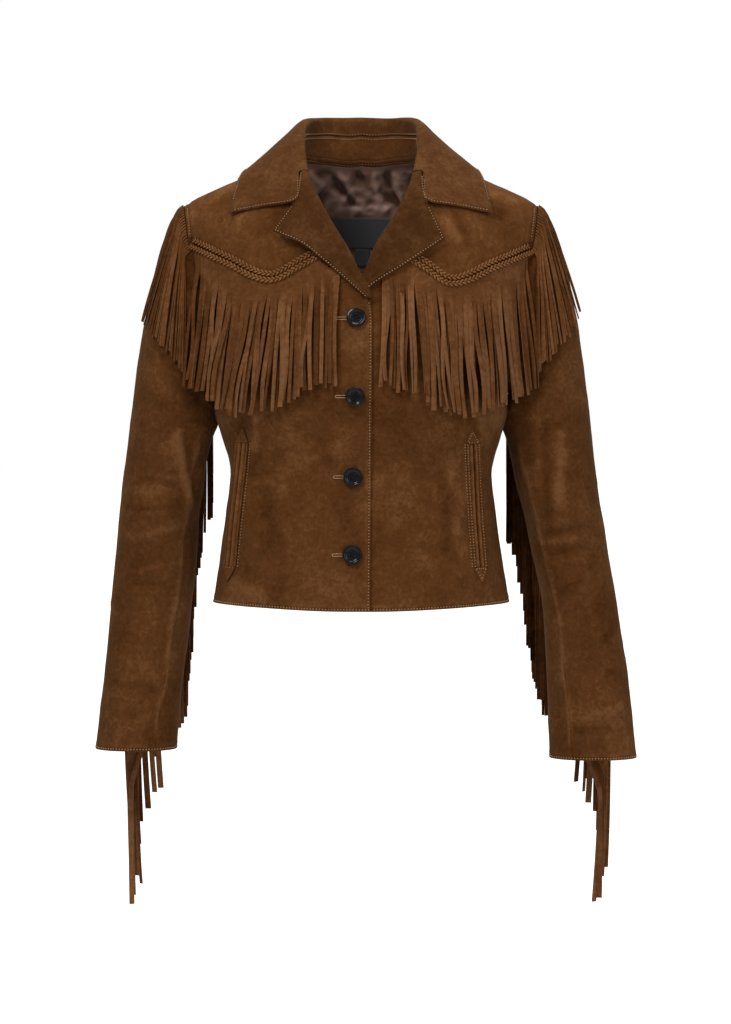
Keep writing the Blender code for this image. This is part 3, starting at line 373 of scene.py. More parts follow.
def armhole_x(z):
    """Distance out of the armhole seam, or of the side seam under it."""
    return np.where(z < PIT_Z, ease(BODY, "half", z), ease(ARMHOLE, "x", z))


def settle(shares, inner, outer, height):
    """Places of a row's points whose heights follow a line across the body."""
    x = mix(inner(height(0.0)), outer(height(0.15)), shares)
    for _ in range(30):
        z = height(x)
        half = ease(BODY, "half", z)
        start = np.arcsin(np.clip(inner(z) / half, -1, 1))
        end = np.arcsin(np.clip(outer(z) / half, -1, 1))
        x = half * np.sin(mix(start, end, shares))
    return x, height(x)


def neck_height(x):
    """Height of the back neck edge."""
    depth = NECK_BACK * np.sqrt(np.clip(1 - (x / NECK_HALF) ** 2, 0, 1))
    crown = shoulder_z(x)
    z = crown
    for _ in range(20):
        out = np.clip(np.abs(x) / ease(BODY, "half", z), 0, 1)
        full = ease(BODY, "back", z) * (1 - out**ROUND) ** (1 / ROUND) + 1e-9
        rise = (1 - np.clip(depth / full, 0, 1) ** ARCH) ** (1 / ARCH)
        z = YOKE_BASE + (crown - YOKE_BASE) * rise
    return z


def armhole(turn):
    """Point of the left armhole seam and the way off the panel there."""
    turn = np.mod(turn, 1.0)

    def place(t):
        reach = 1 - np.abs(1 - 2 * np.mod(t, 1.0))
        z = TIP_Z + (PIT_Z - TIP_Z) * (1 - np.cos(math.pi * reach)) / 2
        x = ease(ARMHOLE, "x", z)
        y = np.where(np.mod(t, 1.0) <= 0.5, body_y(x, z, -1), body_y(x, z, 1))
        return np.stack([x, y, z], axis=-1)

    point = place(turn)
    tangent = unit(place(turn + 0.004) - place(turn - 0.004))
    x, z = point[..., 0], point[..., 2]
    normal = np.where(turn[..., None] <= 0.5, body_normal(x, z, -1), body_normal(x, z, 1))
    return point, unit(np.cross(normal, tangent))


def arm_ring(turn, z, table):
    """Oval section of a sleeve at a height."""
    angle = 2 * math.pi * turn
    reach = 1 + (HEAD_Z - z) / (HEAD_Z - table[0].z)
    swell = 1 + ridges(np.mod(turn, 1.0), reach, ARM_FOLDS)
    cx, cy = np.cos(angle), np.sin(angle)
    x = ease(table, "out", z) + swell * ease(table, "half_x", z) * np.sign(cx) * np.abs(cx) ** 0.93
    y = ease(table, "fore", z) - swell * ease(table, "half_y", z) * np.sign(cy) * np.abs(cy) ** 0.93
    return np.stack([x, y, z * np.ones_like(x)], axis=-1)


def sleeve(turn, reach, hand):
    """Point of a sleeve's outer face."""
    turn, reach = np.broadcast_arrays(np.asarray(turn, float), np.asarray(reach, float))
    table = ARM[hand]
    seam, away = armhole(turn)
    end = arm_ring(turn, np.full(turn.shape, HEAD_Z), table)
    drop = arm_ring(turn, np.full(turn.shape, HEAD_Z - 0.01), table) - end
    around = np.mod(turn, 1.0)
    leave = [ease(LEAVE, "out", around), ease(LEAVE, "back", around), -ease(LEAVE, "down", around)]
    length = ease(LEAVE, "length", around)[..., None]
    leave = unit(np.stack(leave, -1)) * length
    arrive = unit(drop) * (ARRIVE * length / LEAVE[0].length)
    head = glide(np.clip(reach, 0, 1)[..., None], seam + away * ARMHOLE_GAP, leave, end, arrive)
    low = arm_ring(turn, mix(HEAD_Z, table[0].z, np.clip(reach - 1, 0, 1)), table)
    return np.where(reach[..., None] < 1, head, low) * np.array([hand, 1, 1])


def sleeve_normal(turn, reach, hand):
    """Outward direction of a sleeve's face."""
    h = 0.003
    across = sleeve(turn + h, reach, hand) - sleeve(turn - h, reach, hand)
    down = sleeve(turn, np.minimum(reach + h, 2), hand) - sleeve(turn, np.maximum(reach - h, 0), hand)
    return unit(hand * np.cross(across, down))


def neck_seam(w):
    """Left half of the neck seam, from the back round to the gorge."""
    if w <= 0.75:
        x = NECK_HALF * math.sin(w / 0.75 * math.pi / 2)
        z = neck_height(x)
        return np.array([x, body_y(x, z, 1) * (w < 0.75), z])
    z = mix(0.0, GORGE_Z, (w - 0.75) / 0.25)
    x = ease(FRONT_EDGE, "left", z)
    return np.array([x, body_y(x, z, -1), z])


def over_shoulder(x, turn, lift):
    """Point above the body found by turning over the shoulder line."""
    rise = math.cos(min(abs(turn), 1) * math.pi / 2)
    z = YOKE_BASE + (shoulder_z(x) - YOKE_BASE) * min(rise, 0.9999)
    point = on_body(x, z, 1 if turn > 0 else -1, lift)
    if abs(turn) < 0.12:
        point = mix(np.array([x, point[1], shoulder_z(x) + lift]), point, abs(turn) / 0.12)
    return point


def clear_body(point, lift):
    """Pushes a point off the body where it would come nearer than lift."""
    x, y, z = point
    if z > shoulder_z(x) + lift:
        return point
    side = 1 if y > 0 else -1
    least = on_body(x, min(z, shoulder_z(x) - 0.001), side, lift)[1]
    return np.array([x, least, z]) if side * y < side * least else point


def turned(fold, along, lift):
    """Plan places and lifts of the turned edge of a lapel."""
    outward = np.array([along[1], -along[0]])
    size = lift / LAPEL_LIFT
    low = ROLL_LIFT * size
    return [(*(fold + outward * d * size), up * (lift if up > 0 else low)) for d, up in LAPEL_TURN]


def gorge_section(edge):
    """Front end of the collar, beside the top of the lapel."""
    fold = np.array([ease(FRONT_EDGE, "left", GORGE_Z), GORGE_Z])
    along = unit(np.array([0.25, 0.97]))
    plan = turned(fold + along * GORGE_GAP, along, LAPEL_LIFT)
    plan.append((NOTCH_X, NOTCH_Z + GORGE_GAP, LAPEL_LIFT))
    first, second, third, fourth, fifth, notch = [on_body(x, z, -1, up) for x, z, up in plan]
    half = clear_body(mix(notch, edge, 0.5), 0.0062)
    row = [first, mix(first, second, 0.5), second, third, fourth, fifth]
    return row + [clear_body(mix(fifth, notch, 0.5), 0.0070), notch, half, edge]


def collar_section(w):
    """Points across the left half of the collar at w, from the stand over the roll to the edge."""
    value = {name: ease(COLLAR, name, w) for name in COLLAR[0]._fields}
    seam = neck_seam(w)
    roll = np.array([value["roll_x"], value["roll_y"], value["roll_z"]])
    edge = over_shoulder(value["edge_x"], value["edge_turn"], value["lift"])
    inward = np.array([-seam[0], -seam[1], 0.0])
    foot = seam + unit(inward) * FOOT_IN + np.array([0, 0, FOOT_UP])
    low = foot + unit(roll - foot) * value["stand"]
    tip = unit(roll - (low + edge) / 2)
    out = mix(unit(-inward), body_normal(seam[0], seam[2], -1), ramp(w, 0.65, 0.95))
    out = unit(out - tip * float(np.dot(out, tip)))
    centre = roll - tip * value["soft"]
    inside = centre - out * value["soft"]
    outside = centre + out * value["soft"]
    slant = tip * math.cos(0.8) * value["soft"]
    lean = out * math.sin(0.8) * value["soft"]
    points = [low, mix(low, inside, 0.5), inside, centre + slant - lean, centre + slant + lean, outside]
    for share in (0.25, 0.5, 0.75, 1.0):
        flat = mix(outside, edge, share) + out * value["bulge"] * math.sin(share * math.pi)
        points.append(clear_body(flat, COLLAR_CLEAR))
    bend = ramp(w, 0.84, 1.0)
    if bend > 0:
        points = [mix(p, q, bend) for p, q in zip(points, gorge_section(edge))]
    return np.array(points), foot


def both_halves(left):
    """Rows of the right half, mirrored from those of the left, and then of the left half."""
    left = np.array(left)
    return np.concatenate([left[:0:-1] * np.array([-1, 1, 1]), left])


def collar_grid(count):
    """The whole collar, from the right gorge round the back to the left one."""
    shares = [*np.linspace(0, 0.75, count)[:-1], 0.75, 0.80, 0.85, 0.90, 0.95, 1.0]
    return both_halves([collar_section(w)[0] for w in shares])


def stand_grid(count):
    """The collar stand, inside the neck."""
    left = []
    for w in np.linspace(0, 0.93, count):
        points, foot = collar_section(w)
        top = points[0] + unit(foot - points[0]) * SEAM_GAP * 0.2
        left.append([foot, mix(foot, top, 0.5), top])
    return both_halves(left)


def lapel_grid(hand, rows, flat_columns):
    """A lapel, turned back over the front."""
    table = LAPEL[hand]

    def fold_at(v):
        z = ease(table, "fold_z", v)
        return np.array([hand * ease(FRONT_EDGE, SIDE[hand], z), z])

    grid = []
    for v in np.linspace(0, 1, rows):
        edge = np.array([ease(table, "edge_x", v), ease(table, "edge_z", v)])
        lift = ease(table, "lift", v)
        along = unit(fold_at(min(v + 0.03, 1)) - fold_at(max(v - 0.03, 0)))
        plan = turned(fold_at(v), along, lift)
        start = np.array(plan[-1][:2])
        for share in np.linspace(0, 1, flat_columns + 1)[1:]:
            bow = np.array([NOTCH_X, NOTCH_Z]) - mix(start, edge, 0.5)
            place = mix(start, edge, share) + bow * (1 - abs(share - 0.5) * 2) * ramp(v, 0.80, 1.0)
            plan.append((*place, lift * (1.0 - 0.14 * share**2)))
        x, z, up = np.array(plan).T
        sink = underlap(x, z) if hand > 0 else 0.0
        grid.append(on_body(hand * x, z, -1, up - sink))
    return np.array(grid)


# Finer sizes of the looks: closely spaced borders, shells' thicknesses and places of stitch lines
BORDER = 0.006
SHELL = 0.0012
COLLAR_SHELL = 0.0014
BAND_SHELL = 0.0010
LINING_SHELL = 0.0006
LABEL_SHELL = 0.0007
FRONT_STITCH = 0.0021
HEM_STITCH = 0.0024
CUFF_STITCH = 0.0024
COLLAR_STITCH = 0.0021
STITCH_PITCH = 0.0034
STITCH_LENGTH = 0.0015
THREAD = 0.00062
# A stitch's section along its length: place, width and rise
STITCH_FORM = [(-0.5, 0.0, -0.8), (-0.36, 0.8, 0.1), (0.0, 1.0, 0.7), (0.36, 0.8, 0.1), (0.5, 0.0, -0.8)]
# How far thread lies off a face, and how far leather strips do
STITCH_LIFT = 0.0003
STRIP_LIFT = 0.0016

# Creases of the fronts and yokes, x toward the wearer's left; height out of the leather
FINE_FOLDS = [
    (-0.112, -0.33, -0.12, -0.352, 0.004, -0.001), (-0.117, -0.302, -0.121, -0.33, 0.005, 0.0012),
    (-0.105, -0.318, -0.088, -0.338, 0.0045, -0.0007), (-0.121, -0.362, -0.096, -0.359, 0.004, -0.0008),
    (-0.115, -0.37, -0.086, -0.374, 0.005, 0.0007), (-0.047, -0.32, -0.033, -0.348, 0.005, -0.0007),
    (-0.085, -0.3, -0.064, -0.352, 0.009, 0.0008), (-0.105, -0.395, -0.093, -0.44, 0.009, -0.0008),
    (-0.144, -0.484, -0.105, -0.494, 0.007, 0.0011), (-0.13, -0.474, -0.09, -0.488, 0.008, -0.0008),
    (-0.07, -0.478, -0.05, -0.502, 0.006, -0.0006), (0.115, -0.28, 0.133, -0.318, 0.005, -0.0016),
    (0.121, -0.275, 0.14, -0.32, 0.007, 0.0016), (0.102, -0.35, 0.11, -0.44, 0.008, 0.0014),
    (0.092, -0.355, 0.099, -0.44, 0.008, -0.0011), (0.082, -0.283, 0.093, -0.303, 0.008, 0.001),
    (0.078, -0.345, 0.06, -0.362, 0.005, -0.0006), (0.086, -0.464, 0.112, -0.48, 0.008, -0.0012),
    (0.062, -0.452, 0.1, -0.47, 0.01, 0.001), (0.03, -0.42, 0.05, -0.4, 0.007, 0.0005),
    (-0.16, -0.046, -0.098, -0.019, 0.006, 0.0016), (-0.156, -0.058, -0.104, -0.03, 0.006, -0.0014),
    (-0.138, -0.08, -0.103, -0.042, 0.006, 0.0013), (-0.11, -0.092, -0.094, -0.072, 0.007, -0.0009),
    (-0.09, -0.1, -0.078, -0.085, 0.007, 0.0009), (0.12, -0.034, 0.17, -0.056, 0.006, 0.0014),
    (0.115, -0.046, 0.16, -0.072, 0.007, -0.0013), (0.092, -0.076, 0.108, -0.1, 0.006, 0.0013),
    (0.103, -0.07, 0.12, -0.098, 0.006, -0.001), (0.128, -0.08, 0.14, -0.1, 0.007, 0.0008),
]
# Creases of the back
BACK_CREASES = [
    (-0.145, -0.28, -0.09, -0.33, 0.008, -0.0016), (-0.13, -0.275, -0.075, -0.345, 0.009, 0.0018),
    (0.142, -0.275, 0.085, -0.335, 0.008, -0.0016), (0.125, -0.27, 0.07, -0.352, 0.009, 0.0018),
    (-0.105, -0.35, -0.02, -0.368, 0.008, 0.0014), (0.015, -0.362, 0.11, -0.35, 0.008, 0.0014),
    (-0.07, -0.384, 0.06, -0.39, 0.009, -0.0013), (-0.12, -0.41, -0.095, -0.48, 0.011, 0.0014),
    (0.115, -0.405, 0.09, -0.485, 0.011, 0.0014), (-0.03, -0.42, -0.04, -0.49, 0.012, -0.001),
    (0.035, -0.425, 0.045, -0.49, 0.012, -0.001), (-0.17, -0.15, -0.12, -0.225, 0.009, 0.0016),
    (0.17, -0.15, 0.12, -0.225, 0.009, 0.0016), (-0.15, -0.13, -0.1, -0.19, 0.009, -0.0012),
    (0.15, -0.13, 0.1, -0.19, 0.009, -0.0012), (-0.06, -0.03, -0.11, -0.06, 0.008, 0.001),
    (0.06, -0.03, 0.11, -0.06, 0.008, 0.001),
]
# Creases of each sleeve: turn0, reach0, turn1, reach1, width in turns and height
SLEEVE_CREASES = {
    -1: [
        (0.29, 1.02, 0.372, 1.22, 0.02, 0.0022), (0.325, 1.02, 0.395, 1.2, 0.018, -0.0014),
        (0.13, 1.165, 0.225, 1.16, 0.008, -0.0009), (0.15, 1.19, 0.24, 1.186, 0.009, 0.0008),
        (0.26, 1.16, 0.33, 1.172, 0.008, -0.0009), (0.12, 1.25, 0.32, 1.235, 0.012, -0.0009),
        (0.16, 1.345, 0.34, 1.31, 0.014, 0.001), (0.2, 1.44, 0.28, 1.425, 0.01, 0.001),
        (0.19, 1.48, 0.29, 1.48, 0.01, -0.0009), (0.06, 1.56, 0.16, 1.6, 0.012, 0.0009),
        (0.13, 1.78, 0.3, 1.81, 0.012, -0.001), (0.11, 1.82, 0.25, 1.85, 0.011, 0.001),
        (0.22, 1.9, 0.33, 1.88, 0.009, -0.0008), (0.38, 1.05, 0.33, 1.95, 0.011, 0.0015),
        (0.6, 1.15, 0.85, 1.1, 0.018, -0.0016), (0.62, 1.24, 0.88, 1.22, 0.018, 0.0016),
        (0.64, 1.34, 0.9, 1.33, 0.016, -0.0014), (0.78, 1.6, 0.95, 1.64, 0.02, 0.0012),
    ],
    1: [
        (0.225, 1.02, 0.26, 1.22, 0.02, 0.0018), (0.27, 1.0, 0.31, 1.26, 0.018, -0.0013),
        (0.22, 1.3, 0.36, 1.315, 0.009, -0.001), (0.23, 1.33, 0.37, 1.34, 0.009, 0.001),
        (0.21, 1.36, 0.35, 1.375, 0.009, -0.0009), (0.2, 1.4, 0.33, 1.405, 0.011, 0.0008),
        (0.09, 1.25, 0.18, 1.27, 0.01, 0.0007), (0.25, 1.47, 0.34, 1.5, 0.012, -0.0009),
        (0.08, 1.6, 0.18, 1.64, 0.014, -0.0012), (0.12, 1.84, 0.3, 1.88, 0.012, 0.001),
        (0.18, 1.9, 0.32, 1.91, 0.01, -0.0009), (0.388, 1.05, 0.335, 1.95, 0.011, 0.0015),
        (0.62, 1.13, 0.86, 1.09, 0.018, -0.0016), (0.6, 1.23, 0.87, 1.2, 0.018, 0.0016),
        (0.64, 1.35, 0.89, 1.32, 0.016, -0.0014), (0.76, 1.62, 0.94, 1.65, 0.02, 0.0012),
    ],
}

# Spacing of fine points, and about how long and wide each panel is
BODY_PITCH = 0.0029
BACK_PITCH = 0.0037
SLEEVE_PITCH = 0.0033
FRONT_LONG = 0.400
YOKE_LONG = 0.130
FRONT_WIDE = 0.190
BACK_LONG = 0.346
BACK_TOP_LONG = 0.180
BACK_WIDE = 0.440
SLEEVE_LONG = 0.370
SLEEVE_ROUND = 0.30
UPPER_WIDE = 0.215
UNDER_WIDE = 0.100
# Turns left free on each side of a sleeve seam
SEAM_TURN = SEAM_GAP / 1.1
# Points along and across each grid
COLLAR_FINE = (150, 34)
STAND_FINE = (90, 9)
LAPEL_FINE = (74, 40)
LINING_FINE = (151, 161)
LABEL_FINE = (21, 33)
BINDING_FINE = (120, 9)
# Relief that makes leather lighter by a whole step of rubbing on ridges, and darker by a whole step of
# painted shade in troughs
RUB_AND_SHADE_RELIEF = 0.0042
# How far aside a ray looks again where it finds a seam's gap
TOUCH_STEP = 0.0009
# Suede tones from the darkest, where painted shade lies, to the lightest on high places that rubbing has
# lifted
SUEDE_TONES = [
    (0.02, (0.011, 0.0036, 0.0008)),
    (0.20, (0.036, 0.0112, 0.0022)),
    (0.38, (0.060, 0.0208, 0.0050)),
    (0.54, (0.082, 0.0304, 0.0085)),
    (0.80, (0.140, 0.0610, 0.0225)),
]
# Strands in each fringe, and the leather they are cut from
YOKE_FRINGE = 47
SHOULDER_FRINGE = 19
SLEEVE_FRINGE = 50
STRAND_SHELL = 0.0011
STRAND_BOW = 0.0003
# Yoke strands: least and greatest width and distance off, and how far each strays, sways and twists
YOKE_WIDE = (0.0032, 0.0056)
YOKE_OFF = (0.0020, 0.0050)
YOKE_STRAY = 0.0042
YOKE_SWAY = 0.0030
YOKE_TWIST = 1.2
# Shoulder strands: first and last place down the armhole from the shoulder tip, and length
SHOULDER_SPAN = (0.0045, 0.0702)
SHOULDER_LONG = 0.142
# Half the width of a sleeve strand where it leaves its strip
ROOT_HALF = 0.0042

# Sleeve strands from the armpit to the cuff: their length, and how far they fall aside, on each sleeve
SLEEVE_WAY = listed(
    "order long_right long_left aside_right aside_left",
    (0.0, 0.124, 0.166, 0.0, 0.0), (0.06, 0.118, 0.158, 0.0, 0.0), (0.12, 0.112, 0.128, 0.001, 0.001),
    (0.22, 0.146, 0.158, 0.002, 0.002), (0.32, 0.172, 0.18, 0.002, 0.001), (0.42, 0.186, 0.186, 0.0, 0.0),
    (0.52, 0.18, 0.18, 0.009, 0.014), (0.56, 0.16, 0.164, 0.012, 0.021), (0.6, 0.148, 0.182, 0.016, 0.028),
    (0.63, 0.146, 0.186, 0.019, 0.03), (0.66, 0.176, 0.186, 0.02, 0.031), (0.72, 0.19, 0.187, 0.025, 0.032),
    (0.78, 0.191, 0.187, 0.031, 0.037), (0.84, 0.191, 0.187, 0.032, 0.04), (0.88, 0.19, 0.186, 0.03, 0.036),
    (0.94, 0.19, 0.186, 0.019, 0.022), (1.0, 0.187, 0.183, 0.014, 0.017),
)
# Shoulder strands from the shoulder tip down the armhole: where each tip hangs, x outward
SHOULDER_DROP = listed(
    "order x z",
    (0.0, 0.245, -0.182), (0.3, 0.234, -0.206), (0.7, 0.213, -0.238), (1.0, 0.1975, -0.254),
)
# Two plaits over each yoke seam: their turns and width, and each one's place over the seam and lift
PLAIT_PITCH = 0.0150
PLAIT_RISE = 0.0012
PLAIT_WIDE = 0.0025
PLAITS = [(0.0037, 0.0014), (-0.0036, 0.0032)]
# A lace's half width, its height against its width, and its closed section: across, up, and tone, lighter on
# top as rubbing and darker on its sides and underside as painted shade
LACE_HALF = 0.00120
LACE_FLAT = 0.62
LACE_FORM = [
    (-1, -0.1, -0.5), (-0.7, 0.75, 0.12), (0, 1, 0.24), (0.7, 0.75, 0.12), (1, -0.1, -0.5), (0, -0.9, -0.5),
    (-1, -0.1, -0.5),
]
# Puckers of the satin inside the back neck
LINING_FOLDS = [
    (-0.062, -0.014, -0.024, -0.042, 0.0045, 0.0026), (-0.04, -0.008, -0.01, -0.046, 0.0038, -0.0024),
    (-0.026, -0.012, 0.004, -0.048, 0.0042, 0.0026), (-0.006, -0.01, 0.016, -0.036, 0.0036, -0.0022),
    (0.012, -0.012, 0.03, -0.052, 0.0042, 0.0026), (0.028, -0.008, 0.044, -0.044, 0.0036, -0.0024),
    (0.04, -0.012, 0.058, -0.058, 0.0046, 0.0026), (0.062, -0.024, 0.054, -0.08, 0.005, -0.0024),
    (0.046, -0.06, 0.062, -0.096, 0.005, 0.0024), (-0.066, -0.03, -0.048, -0.078, 0.0056, 0.0026),
    (-0.05, -0.044, -0.064, -0.082, 0.0042, -0.0022), (-0.044, -0.088, -0.06, -0.1, 0.005, 0.002),
    (-0.03, -0.052, 0.03, -0.056, 0.004, 0.0018), (0.026, -0.034, 0.054, -0.062, 0.006, -0.0034),
    (-0.058, -0.044, -0.04, -0.03, 0.0034, -0.0024), (0.048, -0.1, 0.02, -0.15, 0.009, 0.0022),
    (-0.05, -0.11, -0.02, -0.16, 0.009, -0.002),
]
# Painted shade on the leather under the braid and the fringe
BRAID_SHADE = 0.46
FRINGE_SHADE = 0.42
# How far the stand reaches below its seam, so no light shows under it
STAND_DEEPER = 0.0022
# How far each lapel's free edge stands off the front beyond its roll
LAPEL_STAND = {-1: 0.0065, 1: 0.0016}
# How much lighter, or darker where less than 0, each fringe's first and last strands are; the sleeves' darker
# first strands are painted shade, where they hang behind the sleeve by the armpit
YOKE_LIGHT = {-1: (-0.06, -0.05), 1: (0.08, 0.09)}
SHOULDER_LIGHT = (-0.21, -0.14)
SLEEVE_STRAND_SHADE = {-1: (-0.22, 0.04), 1: (-0.62, 0.04)}
# How light each part's suede is against the tones above
SHADES = {
    "front": 1.18,
    "yoke": 1.31,
    "back": 1.15,
    "sleeve": 1.08,
    "collar": 0.96,
    "braid": 1.55,
    "pocket": 1.34,
    "lapel": 0.73,
}
# Light of the studio, and each lamp's place, width and power
AMBIENT = 0.34
LAMP_AIM = (0.0, 0.0, -0.35)
LAMPS = [
    ("key", (-1.3, -2.4, 2.1), 1.2, 68.0),
    ("fill", (2.1, -2.5, 0.7), 2.0, 28.0),
    ("top", (0.3, -0.2, 2.4), 1.6, 36.0),
    ("back", (0.0, 2.8, 0.8), 2.0, 22.0),
]
FLOOR_Z = -1.30
FLOOR_HALF = 30.0
CAMERA_PLACE = (0.005, -3.55, -0.25)
CAMERA_LENS = 109.5
CAMERA_SENSOR = 36.0
CAMERA_SHIFT = -0.133


def wander(u, v, size, seed):
    """Soft unevenness between about -1 and 1, with bumps of a size."""
    total = 0.0
    for k in range(5):
        angle = seed * 1.7 + k * 2.39996
        rate = 2 * math.pi / size * (0.6 + 0.22 * k)
        along = u * math.cos(angle) + v * math.sin(angle)
        across = v * math.cos(angle) - u * math.sin(angle)
        bend = 0.9 * np.sin(rate * 0.43 * across + seed * 2.3 + k)
        total = total + np.sin(rate * along + bend + seed * 3.1 + k * 1.3) / (1 + 0.5 * k)
    return total / 2.2


def chance(i, seed):
    """A number from 0 to 1 for each whole number, always the same."""
    value = math.sin(i * 12.9898 + seed * 78.233) * 43758.5453
    return value - math.floor(value)


def shake(i, seed):
    """A number from -1 to 1 for each whole number, always the same."""
    return (chance(i, seed) - 0.5) * 2


def puff(away, stitch):
    """Rolled edge and sunk stitch line at a distance from a folded edge."""
    rolls = 0.0004 * bell(away - 0.4 * stitch, 0.45 * stitch) + 0.0004 * bell(away - 2.2 * stitch, 0.0018)
    return rolls - 0.0005 * bell(away - stitch, 0.0009)


def dip(away):
    """Leather turned in at a plain seam."""
    return -0.0006 * bell(away, 0.0014)


def uneven(x, z, rows):
    """Creases with a wandering line."""
    shift_x = 0.0035 * wander(x, z, 0.045, 3)
    shift_z = 0.0035 * wander(x, z, 0.050, 5)
    return ridges(x + shift_x, z + shift_z, rows)


def pit_swell(side, z):
    """Fullness of the body just under the armhole."""
    return 0.0040 * bell(z + 0.292, 0.019) * bell(side, 0.022) * (z < PIT_Z)


def front_relief(x, z, hand):
    """Fine height of the fronts and yokes over their smooth form."""
    height = uneven(x, z, FINE_FOLDS)
    height = height + 0.0007 * wander(x, z, 0.095, 1) + 0.00028 * wander(x, z, 0.026, 2)
    seam = yoke_line(x, hand)
    low = z < seam
    side = armhole_x(z) - np.abs(x)
    height = height + pit_swell(side, z)
    hem = z - hem_height(x)
    crown = shoulder_z(x) - z
    edge = hand * (x - ease(FRONT_EDGE, SIDE[hand], z))
    height = height + np.where(low, puff(hem, HEM_STITCH) + dip(side), puff(side, 0.0035) + dip(crown))
    return height + puff(edge, FRONT_STITCH) * (low | (edge < 0.02))


def hem_height(x):
    """Height of the hem."""
    return HEM_FRONT_Z + (HEM_SIDE_Z - HEM_FRONT_Z) * ramp(np.abs(x), 0.02, 0.16)


def front_skin(x, z, hand, lift=0.0):
    """Point on the finished face of a front or yoke."""
    x, z = np.broadcast_arrays(np.asarray(x, float), np.asarray(z, float))
    rise = front_relief(x, z, hand) + lift
    if hand > 0:
        rise = rise - underlap(x, z) * (z < yoke_line(x, hand))
    return on_body(x, z, -1, rise)


def back_relief(x, z):
    """Fine height of the back over its smooth form."""
    height = uneven(x, z, BACK_CREASES)
    height = height + 0.0008 * wander(x, z, 0.110, 7) + 0.0003 * wander(x, z, 0.028, 8)
    side = armhole_x(z) - np.abs(x)
    height = height + pit_swell(side, z)
    crown = shoulder_z(x) - z
    return height + dip(side) + dip(crown) + puff(z - HEM_SIDE_Z, HEM_STITCH)


def sleeve_relief(turn, reach, hand):
    """Fine height of a sleeve over its smooth form."""
    turn = np.mod(turn, 1.0)
    shift = 0.012 * wander(turn, reach, 0.16, 4 + hand)
    height = ridges(turn + shift, reach + shift, SLEEVE_CREASES[hand])
    height = height + 0.0007 * wander(turn, reach, 0.30, 9 + hand)
    height = height + 0.00025 * wander(turn, reach, 0.085, 12)
    front, back = (np.abs(turn - ease(SLEEVE_SEAM, name, reach)) * SLEEVE_ROUND for name in ("front", "back"))
    return height + 0.4 * dip(front) + dip(back) + puff((2 - reach) * SLEEVE_LONG, CUFF_STITCH)


def sleeve_skin(turn, reach, hand, lift=0.0):
    """Point on the finished face of a sleeve."""
    turn, reach = np.broadcast_arrays(np.asarray(turn, float), np.asarray(reach, float))
    rise = sleeve_relief(turn, reach, hand) * ramp(reach, 0.0, 0.05) + lift
    place = sleeve(turn, reach, hand)
    fold = bell(place[..., 2] + 0.290, 0.022) * bell(np.mod(turn, 1.0) - 0.5, 0.075)
    rise = rise + 0.0080 * fold * ramp(reach, 0.0, 0.4)
    return place + sleeve_normal(turn, reach, hand) * rise[..., None]


def spaced(length, pitch, first=True, last=True):
    """Shares of a length, close together beside its ends."""
    fine = np.arange(0, BORDER, BORDER / 8)
    places = [np.array([0.0, length])]
    if first:
        places.append(fine)
    if last:
        places.append(length - fine)
    start, end = BORDER * first, length - BORDER * last
    places.append(np.linspace(start, end, max(2, int(round((end - start) / pitch)) + 1)))
    return np.unique(np.round(np.concatenate(places) / length, 6))


def curve_through(keys, rows, at):
    """Smooth curve through rows of points, one for each key."""
    shape = (-1, *[1] * (rows.ndim - 1))
    step = np.diff(keys)
    slope = np.diff(rows, axis=0) / step.reshape(shape)
    tangent = np.zeros_like(rows)
    tangent[0], tangent[-1] = slope[0], slope[-1]
    before = (step[1:] / (step[1:] + step[:-1])).reshape(shape)
    tangent[1:-1] = slope[:-1] * before + slope[1:] * (1 - before)
    i = np.clip(np.searchsorted(keys, at, side="right") - 1, 0, len(step) - 1)
    s = ((at - keys[i]) / step[i]).reshape(shape)
    run = step[i].reshape(shape)
    return glide(s, rows[i], run * tangent[i], rows[i + 1], run * tangent[i + 1])


def run_along(points):
    """Distance run along rows of points, from 0 to 1, averaged over the other way."""
    gaps = np.linalg.norm(np.diff(points, axis=0), axis=-1)
    gaps = gaps if gaps.ndim == 1 else gaps.mean(axis=1)
    run = np.concatenate([[0.0], np.cumsum(gaps)])
    return run / run[-1]


def refine(grid, rows, columns):
    """A smooth grid through a coarse one, at shares of its two ways."""
    down = curve_through(run_along(grid), grid, rows)
    across = np.swapaxes(down, 0, 1)
    fine = curve_through(run_along(np.swapaxes(grid, 0, 1)), across, columns)
    return np.swapaxes(fine, 0, 1)


def grid_normals(grid, outward, column):
    """Unit directions across a grid, which point the way of outward in a column's middle."""
    normals = unit(np.cross(np.gradient(grid, axis=1), np.gradient(grid, axis=0)))
    return -normals if float(np.dot(normals[grid.shape[0] // 2, column], outward)) < 0 else normals


# Materials


def wire(tree, value, target):
    """Gives an input a plain value, or a link from an output."""
    if isinstance(value, bpy.types.NodeSocket):
        tree.links.new(value, target)
    else:
        target.default_value = value


def node(tree, kind, output, inputs):
    """Output of a new node, with values or links on its inputs."""
    made = tree.nodes.new("ShaderNode" + kind)
    for key, value in inputs.items():
        wire(tree, value, made.inputs[key])
    return made.outputs[output]


def total_of(tree, parts):
    """Sum of outputs, each times its weight."""
    result = 0.0
    for value, weight in parts:
        step = tree.nodes.new("ShaderNodeMath")
        step.operation = "MULTIPLY_ADD"
        for number, part in enumerate((value, weight, result)):
            wire(tree, part, step.inputs[number])
        result = step.outputs[0]
    return result


def place_of(tree, seed, stretch=(1, 1, 1)):
    """Object coordinates, moved so that no two pieces share a pattern."""
    where = node(tree, "TexCoord", "Object", {})
    shift = (seed * 1.37, seed * 0.71, seed * 2.11)
    return node(tree, "Mapping", "Vector", {"Vector": where, "Location": shift, "Scale": stretch})


def noise(tree, place, scale, detail, distortion=0.0):
    """Noise from 0 to 1, with a number of bumps a metre."""
    inputs = {"Vector": place, "Scale": scale, "Detail": detail, "Distortion": distortion}
    return node(tree, "TexNoise", "Fac", inputs)


